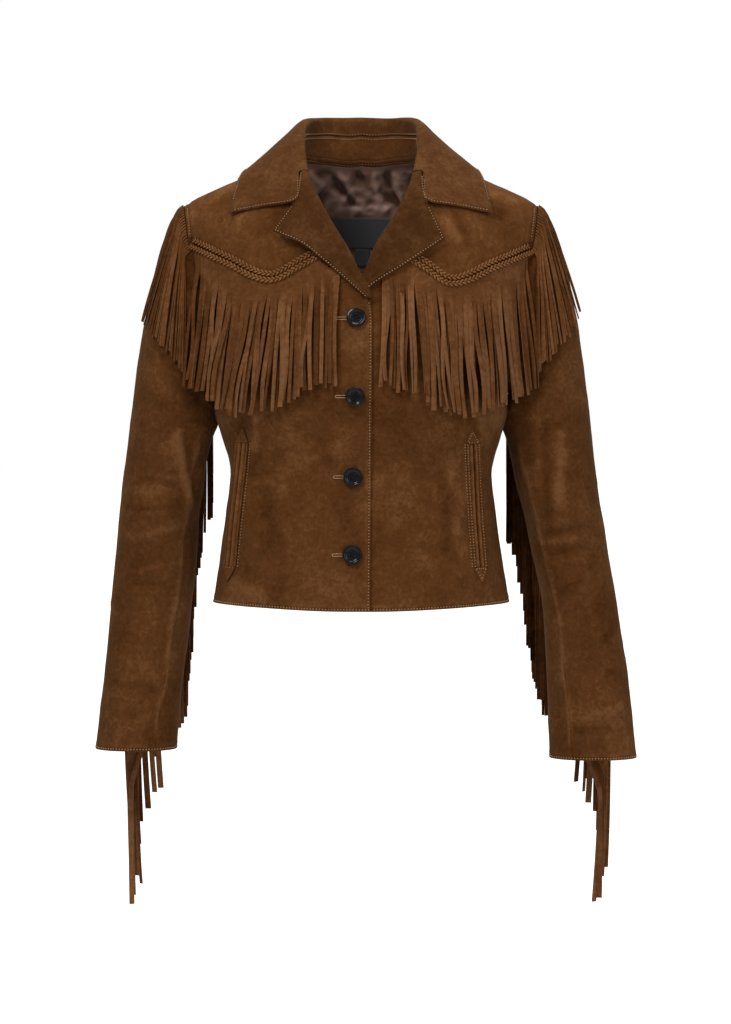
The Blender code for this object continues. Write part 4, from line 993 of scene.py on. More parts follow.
def tones(tree, value, stops):
    """Colour ramp through (place, colour) stops."""
    made = tree.nodes.new("ShaderNodeValToRGB")
    wire(tree, value, made.inputs["Fac"])
    ends = made.color_ramp.elements
    for place, _ in stops[2:]:
        ends.new(place)
    for end, (place, color) in zip(ends, stops):
        end.position = place
        end.color = (*color, 1.0)
    return made.outputs["Color"]


def step_of(tree, value, low, high):
    """Soft step of a value from 0 at low to 1 at high."""
    made = tree.nodes.new("ShaderNodeMapRange")
    made.interpolation_type = "SMOOTHSTEP"
    wire(tree, value, made.inputs["Value"])
    wire(tree, low, made.inputs["From Min"])
    wire(tree, high, made.inputs["From Max"])
    return made.outputs["Result"]


def mark(tree, name):
    """A value stored at each point of a piece."""
    made = tree.nodes.new("ShaderNodeAttribute")
    made.attribute_name = name
    return made.outputs["Fac"]


def bump(tree, shader, height, strength, distance):
    """Fine roughness of a surface."""
    inputs = {"Strength": strength, "Distance": distance, "Height": height}
    wire(tree, node(tree, "Bump", "Normal", inputs), shader.inputs["Normal"])


def plain(name, color, roughness, more=()):
    """A material with one shader, with more inputs by name."""
    look = bpy.data.materials.new(name)
    look.use_nodes = True
    tree = look.node_tree
    shader = tree.nodes["Principled BSDF"]
    for key, value in (("Base Color", (*color, 1.0)), ("Roughness", roughness), *more):
        wire(tree, value, shader.inputs[key])
    return look, tree, shader


def suede(name, seed, shade=1.0, red=1.0, blue=1.0):
    """Napped leather: nap pushed in patches, high places lighter where rubbing lifts the nap, painted shade
    in hollows and under the trim, and short fibre.
    """
    sheen = [("Sheen Weight", 0.07), ("Sheen Roughness", 0.5), ("Sheen Tint", (1.0, 0.62, 0.32, 1.0))]
    look, tree, shader = plain(name, SUEDE_TONES[2][1], 0.95, [("Specular IOR Level", 0.04), *sheen])
    place = place_of(tree, seed)
    patches = step_of(tree, noise(tree, place, 26, 6, 0.9), 0.42, 0.60)
    strokes = noise(tree, place, 85, 5, 1.6)
    mottle = noise(tree, place, 260, 3, 0.6)
    fibre = noise(tree, place, 1500, 2)
    parts = [(patches, 0.08), (strokes, 0.42), (mottle, 0.32), (fibre, 0.16)]
    # Tone from each point's stored wear and painted shade
    parts += [(mark(tree, "wear_and_shade"), 0.50), (1.0, -0.230)]
    stops = [(at, (r * shade * red, g * shade, b * shade * blue)) for at, (r, g, b) in SUEDE_TONES]
    wire(tree, tones(tree, total_of(tree, parts), stops), shader.inputs["Base Color"])
    bump(tree, shader, total_of(tree, [(mottle, 0.5), (fibre, 0.5)]), 0.35, 0.0006)
    return look


def satin(name):
    """Lining with a soft shine and a fine warp."""
    shine = [("Specular IOR Level", 0.32), ("Anisotropic", 0.3)]
    look, tree, shader = plain(name, (0.12, 0.065, 0.046), 0.42, shine)
    place = place_of(tree, 3, (1, 1, 0.12))
    weave = noise(tree, place, 2600, 1)
    wide = noise(tree, place_of(tree, 5), 24, 2)
    # Tone from the puckers' painted highlight and painted shade stored at each point, over a wide unevenness
    # and the weave
    tone = total_of(tree, [(wide, 0.35), (weave, 0.20), (mark(tree, "wear_and_shade"), 1.0), (1.0, -0.27)])
    stops = [(0.12, (0.060, 0.026, 0.014)), (0.50, (0.225, 0.122, 0.086)), (0.85, (0.360, 0.225, 0.180))]
    wire(tree, tones(tree, tone, stops), shader.inputs["Base Color"])
    bump(tree, shader, weave, 0.10, 0.0002)
    return look


def woven(name, color):
    """Close-woven label."""
    look, tree, shader = plain(name, color, 0.8)
    wave = node(tree, "TexWave", "Fac", {"Vector": place_of(tree, 7), "Scale": 900.0})
    bump(tree, shader, wave, 0.25, 0.0002)
    return look


def horn(name):
    """Polished black horn with faint streaks."""
    look, tree, shader = plain(name, (0.004, 0.004, 0.005), 0.12, [("Specular IOR Level", 0.24)])
    streak = noise(tree, place_of(tree, 11, (1, 1, 3)), 140, 3, 2.0)
    stops = [(0.45, (0.003, 0.003, 0.004)), (0.72, (0.012, 0.012, 0.015))]
    wire(tree, tones(tree, streak, stops), shader.inputs["Base Color"])
    return look


def thread(name):
    """Tan sewing thread with a fine twist."""
    look, tree, shader = plain(name, (0.34, 0.20, 0.095), 0.7)
    twist = noise(tree, place_of(tree, 13), 2400, 2)
    stops = [(0.3, (0.27, 0.150, 0.064)), (0.7, (0.44, 0.270, 0.135))]
    wire(tree, tones(tree, twist, stops), shader.inputs["Base Color"])
    bump(tree, shader, twist, 0.3, 0.0002)
    return look


def shown(name, data):
    """A new object in the scene."""
    item = bpy.data.objects.new(name, data)
    bpy.context.scene.collection.objects.link(item)
    return item


def mesh_of(name, points, faces):
    """A new mesh."""
    mesh = bpy.data.meshes.new(name)
    mesh.from_pydata(points, [], faces)
    return mesh


def piece(name, points, faces, look, nodes=(), thickness=0.0, offset=-1.0, smooth=True, wear_and_shade=None):
    """A finished piece that rides with the jacket and stands for its solids."""
    mesh = mesh_of(name, np.asarray(points, float).reshape(-1, 3).tolist(), faces)
    mesh.materials.append(look)
    mesh.polygons.foreach_set("use_smooth", [smooth] * len(mesh.polygons))
    # Tone at each point: wear, with painted shade and painted highlight where the pieces give them
    stored = mesh.attributes.new("wear_and_shade", "FLOAT", "POINT")
    value = np.full(len(mesh.vertices), 0.5) if wear_and_shade is None else np.clip(wear_and_shade, -0.4, 1)
    stored.data.foreach_set("value", np.asarray(value, np.float32).ravel())
    item = shown(name, mesh)
    if thickness:
        shell = item.modifiers.new("Shell", "SOLIDIFY")
        shell.thickness = thickness
        shell.offset = offset
    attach(item, "root")
    if nodes:
        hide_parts(*nodes)
    return item


def grid_faces(rows, columns, flip=False, base=0):
    """Four-cornered faces of a grid."""
    corner = np.arange(rows * columns).reshape(rows, columns) + base
    quads = [corner[:-1, :-1], corner[:-1, 1:], corner[1:, 1:], corner[1:, :-1]]
    quads = np.stack(quads, axis=-1).reshape(-1, 4)
    return (quads[:, ::-1] if flip else quads).tolist()


def sheet_piece(name, grid, look, flip, wear_and_shade=None, thickness=SHELL):
    """A leather or cloth piece on a fine grid."""
    faces = grid_faces(*grid.shape[:2], flip)
    return piece(name, grid, faces, look, (name,), thickness, -1.0, True, wear_and_shade)


def rub_and_crease_shade(relief, aside=0.0):
    """Tone from relief: ridges and rolled edges lighter, partly rubbing and partly painted highlight;
    troughs, seams and stitch lines darker, as painted shade.
    """
    return 0.5 + relief / RUB_AND_SHADE_RELIEF + aside


def shade_under_yoke_trim(x, z, hand):
    """Painted shade on the leather under a yoke's braid and fringe."""
    rows = YOKE_STRANDS[hand][::-1]
    out = np.abs(x)
    root = np.interp(out, [row.root_x for row in rows], [row.root_z for row in rows])
    tip = np.interp(out, [row.tip_x for row in rows], [row.tip_z for row in rows])
    fringe = ramp(root + 0.004 - z, 0.0, 0.006) * ramp(z - tip, 0.008, 0.024) * ramp(out, 0.020, 0.028)
    braid = ramp(0.0078 - np.abs(z - yoke_line(x, hand)), 0.0, 0.0014) * ramp(out, 0.048, 0.052)
    return FRINGE_SHADE * fringe + BRAID_SHADE * braid


def shade_under_shoulder_trim(turn, reach):
    """Painted shade on a sleeve head under its fringe."""
    around = np.mod(turn + 0.5, 1.0) - 0.5
    run = reach * (0.27 - 0.39 * np.clip(around, 0.0, 0.3))
    across = ramp(around, 0.0, 0.02) * (1 - ramp(around, 0.345, 0.375))
    return FRINGE_SHADE * (1 - ramp(run, 0.112, 0.134)) * across


def front_fine(hand, part):
    """Places of a lower front's or a yoke's fine points."""
    rows = spaced(FRONT_LONG if part == "front" else YOKE_LONG, BODY_PITCH)[:, None]

    def inner(z):
        return hand * ease(FRONT_EDGE, SIDE[hand], z)

    def height(x):
        seam = yoke_line(x, hand)
        if part == "front":
            return mix(hem_height(x), seam - SEAM_GAP / 2, rows)
        return mix(seam + SEAM_GAP / 2, shoulder_z(x), np.sin(rows * math.pi / 2))

    x, z = settle(spaced(FRONT_WIDE, BODY_PITCH)[None, :], inner, armhole_x, height)
    return hand * x, z


def back_fine():
    """Places of the back's fine points."""
    low = spaced(BACK_LONG, BACK_PITCH, last=False)
    high = np.sin(spaced(BACK_TOP_LONG, BACK_PITCH, first=False)[1:] * math.pi / 2)
    low, high = np.concatenate([low, np.ones(len(high))]), np.concatenate([np.zeros(len(low)), high])

    def height(x):
        x = x + np.zeros((len(low), 1))
        top = np.where(np.abs(x) < NECK_HALF, neck_height(x), shoulder_z(x))
        return mix(mix(HEM_SIDE_Z, YOKE_BASE, low[:, None]), top, high[:, None])

    return settle(spaced(BACK_WIDE, BACK_PITCH)[None, :], lambda z: -armhole_x(z), armhole_x, height)


def sleeve_fine(part):
    """Turns and reaches of an upper or under sleeve's fine points."""
    head = np.linspace(0, 1, 46)[:-1]
    reach = np.concatenate([head, 1 + spaced(SLEEVE_LONG, SLEEVE_PITCH, first=False)])[:, None]
    front, back = ease(SLEEVE_SEAM, "front", reach), ease(SLEEVE_SEAM, "back", reach)
    if part == "upper":
        turn = mix(back - 1 + SEAM_TURN, front - SEAM_TURN, spaced(UPPER_WIDE, SLEEVE_PITCH)[None, :])
    else:
        turn = mix(front + SEAM_TURN, back - SEAM_TURN, spaced(UNDER_WIDE, SLEEVE_PITCH)[None, :])
    return np.broadcast_arrays(turn, reach)


def tucked(grid, turn, hand):
    """A sleeve's points with one more row, turned in under the armhole's edge."""
    seam, away = armhole(turn)
    pit = bell(np.mod(turn, 1.0) - 0.5, 0.06)[:, None]
    seam = (seam - away * (0.0036 + 0.0020 * pit)) * np.array([hand, 1, 1])
    inside = sleeve_normal(turn, np.full(turn.shape, 0.02), hand)
    return np.concatenate([(seam - inside * 0.0026 * (1 - pit))[None], grid])


def shares_of(counts):
    """Even shares from 0 to 1 along a grid's two ways."""
    return [np.linspace(0, 1, count) for count in counts]


def edge_away(grid, axis, last):
    """Distance of each point of a grid from one of its borders."""
    gaps = np.linalg.norm(np.diff(grid, axis=axis), axis=-1)
    zero = np.zeros_like(np.take(gaps, [0], axis=axis))
    run = np.cumsum(np.concatenate([zero, gaps], axis=axis), axis=axis)
    return np.take(run, [-1], axis=axis) - run if last else run


def raised(grid, rise, outward):
    """Grid moved along its normals, which point the way of outward."""
    normals = grid_normals(grid, outward, -grid.shape[1] // 4)
    return grid + normals * rise[..., None], normals


def between(grid, normals, rows, columns):
    """Points and normals of a grid at fractional rows and columns."""
    rows, columns = np.broadcast_arrays(np.asarray(rows, float), np.asarray(columns, float))
    r = np.clip(rows.astype(int), 0, grid.shape[0] - 2)
    c = np.clip(columns.astype(int), 0, grid.shape[1] - 2)
    s, t = (rows - r)[:, None], (columns - c)[:, None]

    def read(a):
        return mix(mix(a[r, c], a[r + 1, c], s), mix(a[r, c + 1], a[r + 1, c + 1], s), t)

    return read(grid), unit(read(normals))


def laid_out(grid, pitch):
    """Even distances along a grid's two ways."""
    return [np.cumsum(np.full(grid.shape[:2], pitch), axis=axis) for axis in (0, 1)]


def stitch_mesh(paths, pitch=STITCH_PITCH, length=STITCH_LENGTH, half=THREAD):
    """Points and faces of short stitches along rows of points with their normals."""
    points, faces = [], []
    for number, (path, normals) in enumerate(paths):
        path, normals = np.asarray(path, float), np.asarray(normals, float)
        run = distances(path)
        count = max(1, int(round(run[-1] / pitch)))
        for i in range(count):
            middle = (i + 0.5) * run[-1] / count + (chance(i, number) - 0.5) * 0.0003
            behind, centre, ahead = (read_at(middle + d, run, path) for d in (-0.001, 0, 0.001))
            normal = unit(read_at(middle, run, normals))
            along = unit(ahead - behind)
            side = unit(np.cross(normal, along))
            along = unit(along + side * (0.10 + 0.10 * (chance(i, number + 9) - 0.5)))
            side = unit(np.cross(normal, along))
            base = len(points)
            for share, wide, rise in STITCH_FORM:
                place = centre + along * share * length + normal * half * rise
                if wide == 0.0:
                    points.append(place)
                    continue
                for k in range(6):
                    angle = k * math.pi / 3
                    spoke = side * math.cos(angle) + normal * math.sin(angle) * 0.8
                    points.append(place + spoke * half * wide)
            for k in range(6):
                n = (k + 1) % 6
                faces.append((base, base + 1 + n, base + 1 + k))
                for ring in (base + 1, base + 7):
                    faces.append((ring + k, ring + n, ring + 6 + n, ring + 6 + k))
                faces.append((base + 13 + k, base + 13 + n, base + 19))
    return points, faces


def touch(x, z):
    """Where the front of the sewn panels lies at a place, and its outward direction."""
    for aside, above in ((0, 0), (0, -1), (0, 1), (-1, 0), (1, 0), (-2, 0), (2, 0), (-3, 0), (3, 0)):
        start = Vector((x + aside * TOUCH_STEP, -1.0, z + above * TOUCH_STEP))
        place, normal, _, _ = OUTSIDE.ray_cast(start, Vector((0, 1, 0)))
        if place is not None and place.y < -0.004:
            return np.array([x, place.y, z]), np.array(normal if normal.y < 0 else -normal)
    return None


def lay(x, z, lift):
    """Point lying on the front of the sewn panels, moved out by lift."""
    place, normal = touch(x, z)
    return place + normal * lift


def forward(x, z, least):
    """Front-most depth over the body and sleeves at a place, kept ahead of least."""
    found = touch(x, z)
    return least if found is None else min(float(found[0][1]), least)


def fringe_piece(name, strands, light):
    """A fringe of strands, each a grid with its own tone, made lighter or darker from first to last."""
    points, faces, wear_and_shade = [], [], []
    for number, (grid, flip) in enumerate(strands):
        faces.extend(grid_faces(*grid.shape[:2], flip, len(points)))
        points.extend(grid.reshape(-1, 3))
        own = 0.22 + 0.66 * chance(number, 5) + mix(*light, ramp(number / len(strands), 0.35, 0.62))
        own = own + np.linspace(-0.08, 0.12, grid.shape[0])
        share = ramp(np.arange(grid.shape[0]) / (grid.shape[0] - 1), 0.04, 0.22)
        wear_and_shade.extend(np.repeat(mix(0.56, own, share), grid.shape[1]))
    wear_and_shade = np.array(wear_and_shade)
    return piece(name, points, faces, fringe_look, (name,), STRAND_SHELL, 0.0, False, wear_and_shade)


def yoke_strands(hand):
    """Strands hanging under a yoke, with the uncut strip above them."""
    table = YOKE_STRANDS[hand]
    strands = []
    for i in range(YOKE_FRINGE):
        order = i * (1.0 / (YOKE_FRINGE - 1))
        root_x, root_z, tip_x, tip_z = (ease(table, column, order) for column in table[0]._fields[1:])
        tip_z += YOKE_STRAY * shake(i, 1 + hand) + 0.0016 * math.sin(1.3 * i)
        aside = YOKE_STRAY * shake(i, 2 + hand) + 0.0026 * math.sin(0.9 * i + hand)
        tip_x += aside * ramp(order, 0.0, 0.1)
        root_z -= 0.0105 * chance(i, 12 + hand) - 0.002
        wide = mix(*YOKE_WIDE, chance(i, 3 + hand))
        twist = YOKE_TWIST * shake(i, 4 + hand)
        off = mix(*YOKE_OFF, chance(i, 6 + hand)) + 0.0014 * (i % 3)
        sway = YOKE_SWAY * shake(i, 8 + hand)
        start = 0.06 + 0.30 * chance(i, 10 + hand)
        grid = []
        least = [1.0, 1.0, 1.0]
        for share in [-1.0, *np.linspace(0, 1, 16)]:
            down = max(share, 0.0)
            x = hand * mix(root_x, tip_x, down) + sway * math.sin(down * math.pi * (1 + i % 2))
            z = mix(root_z, tip_z, down)
            half = 0.5 * mix(0.0038, wide, ramp(down, 0.0, 0.10))
            angle = twist * ramp(down, start, 1.0)
            free = off * ramp(down, 0.0, 0.30) + STRIP_LIFT
            row = []
            for e, edge in enumerate((-1.0, 0.0, 1.0)):
                ex = x + edge * half * math.cos(angle)
                if share < 0:
                    under = mix(0.006, 0.034, ramp(root_x, 0.028, 0.060))
                    row.append(lay(ex, min(yoke_line(ex, hand) - STRIP_TOP, root_z + under), STRIP_LIFT))
                elif down == 0.0:
                    row.append(lay(ex, z, STRIP_LIFT))
                    least[e] = row[-1][1]
                else:
                    least[e] = forward(ex, z, least[e] + free) - free
                    depth = least[e] + edge * half * math.sin(angle) - abs(half * math.sin(angle)) * 0.6
                    bow = 0.0004 * (edge == 0.0) * ramp(down, 0.05, 0.2) * (1 if i % 3 else -1)
                    row.append(np.array([ex, depth - bow, z]))
            grid.append(row)
        strands.append((np.array(grid), True))
    return strands


def resting(turn, order, hand, half, sway, table):
    """Edges and middle of a strand hung down a sleeve head, along rows of run, lift, lean and width."""
    tip_x = ease(SHOULDER_DROP, "x", order) * hand
    tip_z = ease(SHOULDER_DROP, "z", order)
    samples = np.linspace(0.0, 1.05, 60)
    around = np.linspace(-0.02, 0.42, 50)
    field = sleeve(around[None, :], samples[:, None], hand)
    root = sleeve(turn, 0.05, hand)
    aim = root[0] + (tip_x - root[0]) * (root[2] - field[..., 2]) / (root[2] - tip_z)
    turns = np.array([np.interp(0.0, row, around) for row in hand * (aim - field[..., 0])])
    turns = mix(turn, turns, ramp(samples, 0.03, 0.16))
    run = distances(sleeve(turns, samples, hand))
    distance, lift, lean, share = np.array(table).T
    reach = np.interp(distance, run, samples)
    turn = np.interp(distance, run, turns) + sway * np.sin(distance / SHOULDER_LONG * math.pi)
    centre = sleeve(turn, reach, hand)
    normal = sleeve_normal(turn, reach, hand)
    side = unit(sleeve(turn + 0.004, reach, hand) - sleeve(turn - 0.004, reach, hand))
    half = (half * share)[:, None]
    face = (side * np.cos(lean)[:, None] + normal * np.sin(lean)[:, None]) * half
    centre = centre + normal * (lift[:, None] + half * np.abs(np.sin(lean))[:, None])
    return np.stack([centre - face, centre + normal * STRAND_BOW, centre + face], 1)


def shoulder_strands(hand):
    """Strands that leave the armhole seam and hang down the sleeve head."""
    turns = np.linspace(0, 0.3, 200)
    run = distances(sleeve(turns, np.full(200, 0.05), hand))
    strands = []
    for i in range(SHOULDER_FRINGE):
        order = i / (SHOULDER_FRINGE - 1)
        turn = float(np.interp(mix(*SHOULDER_SPAN, order), run, turns))
        long = SHOULDER_LONG + 0.004 * shake(i, 22 + hand)
        twist = 0.9 * shake(i, 24 + hand)
        off = mix(0.0018, 0.0048, chance(i, 26 + hand))
        table = []
        for share in [0.0, 0.02, 0.045, *np.linspace(0.07, 1, 16)]:
            lift = mix(0.0012, off, ramp(share, 0.05, 0.35))
            wide = mix(0.60, 1.0, ramp(share, 0.05, 0.16))
            table.append((0.0006 + share * long, lift, twist * ramp(share, 0.25, 1.0), wide))
        half = mix(0.0016, 0.0024, chance(i, 23 + hand))
        sway = 0.004 * shake(i, 25 + hand)
        strands.append((resting(turn, order, hand, half, sway, table), hand < 0))
    return strands


def sleeve_strands(hand):
    """Strands hanging down behind a sleeve from the strip on its back seam."""
    strands = []
    orders = np.interp(np.linspace(0, 1, SLEEVE_FRINGE), [0, 0.64, 1], [0, 0.52, 1])
    reaches = np.interp(orders, [0, 0.12, 1], [0.35, 1.06, 1.986])
    turns = ease(SLEEVE_SEAM, "back", reaches)
    normals = sleeve_normal(turns, reaches, hand)
    faces = sleeve_skin(turns, reaches, hand) + normals * STRIP_LIFT
    downs = unit(sleeve(turns + 0.001, reaches + 0.004, hand) - sleeve(turns, reaches - 0.004, hand))
    longs = ease(SLEEVE_WAY, f"long_{SIDE[hand]}", orders)
    asides = ease(SLEEVE_WAY, f"aside_{SIDE[hand]}", orders)
    for i, (order, face, normal, down) in enumerate(zip(orders, faces, normals, downs)):
        low = ramp(order, 0.45, 0.60)
        slant = mix(0.62, 0.34, low) + mix(0.45, 0.70, low) * (chance(i, 31 + hand) - 0.5)
        inward = np.array([-hand * math.cos(slant), -math.sin(slant), 0.0])
        side = unit(np.cross(normal, down)) * hand
        wide = mix(0.0048, 0.0060, chance(i, 32 + hand)) + 0.0010 * low
        grid = []
        for step in (-SLEEVE_STRIP, 0.0010):
            start = face + side * step
            grid.append([start - down * ROOT_HALF, start, start + down * ROOT_HALF])
        long = longs[i] + mix(0.006, 0.010, low * (1 - ramp(order, 0.9, 1.0))) * shake(i, 33 + hand)
        stray = mix(0.0013, 0.0046, low) * shake(i, 34 + hand)
        turning = mix(0.35, 0.8, low) * shake(i, 35 + hand)
        behind = 0.0016 * (i % 2) + 0.0012 * chance(i, 36 + hand)
        early = mix(0.16, 0.06, ramp(order, 0.55, 0.85))
        spread = asides[i] * mix(1.0, mix(0.86, 1.08, chance(i, 37 + hand)), low)
        for share in [0.03, 0.07, *np.linspace(0.12, 1.0, 12)]:
            fall = long * share
            off = 0.0012 + (0.0060 + behind) * ramp(fall, 0.0, 0.09)
            sideways = hand * (spread * ramp(fall, 0.0, early) - 0.005 * low * share**2)
            sideways += stray * share**1.5
            centre = face + np.array([sideways, off, -fall])
            across = unit(mix(-down, inward, ramp(fall, 0.0, 0.022)))
            wring = turning * ramp(share, 0.3, 1.0)
            third = unit(np.cross(across, np.array([0.0, 0.0, 1.0])))
            across = across * math.cos(wring) + third * math.sin(wring)
            half = mix(ROOT_HALF, wide / 2, ramp(share, 0.0, 0.12))
            grid.append([centre + across * half, centre + third * STRAND_BOW, centre - across * half])
        strands.append((np.array(grid), hand < 0))
    return strands


def plait(path, normals, lift):
    """Points, faces and tone of a three-strand plait along a path: lighter where a strand crosses over, as
    rubbing, and darker where it passes under and on its sides, as painted shade.
    """
    path, normals = np.asarray(path), np.asarray(normals)
    run = distances(path)
    at = np.linspace(0, run[-1], int(run[-1] / (PLAIT_PITCH / 14)) + 1)
    centre = read_at(at, run, path)
    normal = unit(read_at(at, run, normals))
    side = unit(np.cross(normal, unit(np.gradient(centre, axis=0))))
    points, faces, wear_and_shade = [], [], []
    for strand in range(3):
        phase = 2 * math.pi * at / PLAIT_PITCH + strand * 2 * math.pi / 3
        over = lift + PLAIT_RISE * np.sin(2 * phase)
        line = centre + side * (PLAIT_WIDE * np.sin(phase))[:, None] + normal * over[:, None]
        way = unit(np.gradient(line, axis=0))
        across = unit(np.cross(normal, way))
        up = unit(np.cross(way, across))
        ring = [line + across * u * LACE_HALF + up * v * LACE_HALF * LACE_FLAT for u, v, _ in LACE_FORM]
        ring = np.stack(ring, axis=1)
        faces.extend(grid_faces(*ring.shape[:2], False, len(points)))
        points.extend(ring.reshape(-1, 3))
        rub_and_shade = np.array([row[2] for row in LACE_FORM])
        # Lighter over each crossing as rubbing, painted shade under it and on each lace's sides and underside
        wear_and_shade.extend((0.52 + 0.30 * np.sin(2 * phase)[:, None] + rub_and_shade[None, :]).ravel())
    return points, faces, wear_and_shade


def braid_piece(hand, name, look):
    """Two plaits side by side over a yoke seam."""
    points, faces, wear_and_shade = [], [], []
    for aside, lift in PLAITS:
        path, normals = [], []
        for x in np.linspace(0.0500, 0.1890, 60):
            slope = (yoke_line(x + 0.001, hand) - yoke_line(x - 0.001, hand)) / 0.002
            place = np.array([x, yoke_line(x, hand)]) + unit(np.array([-slope, 1.0])) * aside
            found, normal = touch(hand * min(place[0], 0.1895), place[1])
            path.append(found)
            normals.append(normal)
        more, quads, rubs_and_shades = plait(path, normals, lift)
        faces.extend([tuple(k + len(points) for k in quad) for quad in quads])
        points.extend(more)
        wear_and_shade.extend(rubs_and_shades)
    return piece(name, points, faces, look, (name,), wear_and_shade=np.array(wear_and_shade))


def pocket_piece(hand, name, look):
    """Two welts round a slit, with a pointed tab at each end."""
    rows = POCKET[hand]
    z = np.linspace(rows[0].z, rows[-1].z, 150)[:, None]
    near = np.minimum(z - rows[0].z, rows[-1].z - z)
    half = np.minimum(np.minimum(ease(rows, "half", z), 0.0074), 0.0006 + near * 0.52)
    shares = np.linspace(-1, 1, 33)[None, :]
    away = np.abs(shares) * half
    tab = ramp(near, 0.0150, 0.0168)
    welt, slit, seam = (rise * bell(away - middle, width) * tab for rise, middle, width in WELT_FORM)
    end = -0.0009 * bell(near - 0.0158, 0.0007)
    grid = front_skin(hand * ease(rows, "x", z) + shares * half, z, hand, 0.0012 + welt + slit + seam + end)
    # Tone: lighter on the welts, painted shade in the slit, the seam and the pointed ends
    wear_and_shade = 0.58 + 230 * (welt + 3.0 * slit + 2.4 * seam + 2.4 * end)
    return sheet_piece(name, grid, look, hand < 0, wear_and_shade, BAND_SHELL)


def button_piece(index, place, look):
    """A four-holed button with a raised rim and a dished middle, on its shank."""
    count = BUTTON_SIDES
    points = [(0.0, 0.0, BUTTON_FORM[0][1]), (0.0, 0.0, BUTTON_FORM[-1][1])]
    faces = []
    rings = BUTTON_FORM[1:-1]
    for radius, height in rings:
        for k in range(count):
            angle = 2 * math.pi * k / count
            points.append((radius * math.cos(angle), radius * math.sin(angle), height))
    last = 2 + (len(rings) - 1) * count
    for k in range(count):
        n = (k + 1) % count
        faces.append((0, 2 + n, 2 + k))
        faces.append((1, last + k, last + n))
        for a in range(2, last, count):
            faces.append((a + k, a + n, a + count + n, a + count + k))
    blank = shown("blank", mesh_of("blank", points, faces))
    drills = []
    for k in range(4):
        angle = math.pi / 4 + k * math.pi / 2
        middle = (HOLE_OUT * math.cos(angle), HOLE_OUT * math.sin(angle), DRILL_UP)
        add = bpy.ops.mesh.primitive_cylinder_add
        add(vertices=16, radius=HOLE_RADIUS, depth=DRILL_LONG, location=middle)
        drills.append(bpy.context.object)
        cut = blank.modifiers.new("Hole", "BOOLEAN")
        cut.operation = "DIFFERENCE"
        cut.object = drills[-1]
        cut.solver = "EXACT"
    drilled = blank.evaluated_get(bpy.context.evaluated_depsgraph_get()).to_mesh()
    points = np.array([tuple(v.co) for v in drilled.vertices])
    faces = [tuple(p.vertices) for p in drilled.polygons]
    smooth = [len(p.vertices) <= 4 and p.normal.z < 0.97 for p in drilled.polygons]
    for item in drills + [blank]:
        bpy.data.objects.remove(item, do_unlink=True)
    normal = Vector(body_normal(place.x, place.z, -1))
    turn = np.array(normal.to_track_quat("Z", "Y").to_matrix())
    spin = 0.35 * index
    swing = np.array([[math.cos(spin), -math.sin(spin), 0], [math.sin(spin), math.cos(spin), 0], [0, 0, 1]])
    placed = points @ (turn @ swing).T + lay(place.x, place.z, BUTTON_LIFT)
    item = piece(f"button_{index}", placed, faces, look, (f"button_{index}",))
    item.data.polygons.foreach_set("use_smooth", smooth)
    return item


# Fine forms of every panel
suedes = {}
for number, (name, shade) in enumerate(SHADES.items()):
    suedes[name] = suede(f"suede_{name}", number + 1, shade)
fringe_look = suede("suede_fringe", 9, 1.40, 0.98, 1.14)
satin_look = satin("satin_lining")
label_look = woven("woven_label", (0.052, 0.054, 0.059))
horn_look = horn("horn_black")
thread_look = thread("thread_tan")

outside_grids = []
for hand, word in SIDE.items():
    for part in ("front", "yoke"):
        x, z = front_fine(hand, part)
        grid = front_skin(x, z, hand)
        # Front and yoke tone from relief, darkened by painted shade under the braid and fringe
        wear_and_shade = rub_and_crease_shade(front_relief(x, z, hand), -shade_under_yoke_trim(x, z, hand))
        sheet_piece(f"{part}_{word}", grid, suedes[part], hand < 0, wear_and_shade)
        outside_grids.append(grid)
    for part in ("upper", "under"):
        turn, reach = sleeve_fine(part)
        grid = sleeve_skin(turn, reach, hand)
        # Sleeve tone from relief, darkened by painted shade under the shoulder fringe
        wear_and_shade = rub_and_crease_shade(sleeve_relief(turn, reach, hand), -shade_under_shoulder_trim(turn, reach))
        full, wear_and_shade = tucked(grid, turn[0], hand), np.concatenate([wear_and_shade[:1], wear_and_shade])
        sheet_piece(f"sleeve_{part}_{word}", full, suedes["sleeve"], hand < 0, wear_and_shade)
        if part == "upper":
            outside_grids.append(grid)

points, faces = [], []
for grid in outside_grids:
    faces.extend(grid_faces(*grid.shape[:2], False, len(points)))
    points.extend(grid.reshape(-1, 3).tolist())
OUTSIDE = BVHTree.FromPolygons(points, faces)

x, z = back_fine()
relief = back_relief(x, z)
# Back tone: rubbing on ridges, painted shade in its creases and seams
sheet_piece("back", on_body(x, z, 1, relief), suedes["back"], True, rub_and_crease_shade(relief))

# Collar with its rolled edge, and its stand
up, across = shares_of(COLLAR_FINE)
collar = refine(collar_grid(10), up, across)
ends = np.minimum(edge_away(collar, 0, False), edge_away(collar, 0, True))
outer = edge_away(collar, 1, True)
relief = puff(outer, COLLAR_STITCH) + puff(ends, COLLAR_STITCH) * (across > 0.35)
relief = relief + 0.0006 * wander(*laid_out(collar, 0.004), 0.07, 17)
collar, collar_normals = raised(collar, relief, np.array([0.0, 1.0, 0.3]))
# Collar tone: rubbing on its rolled edge, painted shade in its hollows and stitch lines
sheet_piece("collar", collar, suedes["collar"], True, rub_and_crease_shade(relief, 0.12), COLLAR_SHELL)

stand = refine(stand_grid(9), *shares_of(STAND_FINE))
stand[:, 0] += unit(stand[:, 0] - stand[:, 1]) * STAND_DEEPER
sheet_piece("collar_stand", stand, suedes["collar"], True, None, BAND_SHELL)

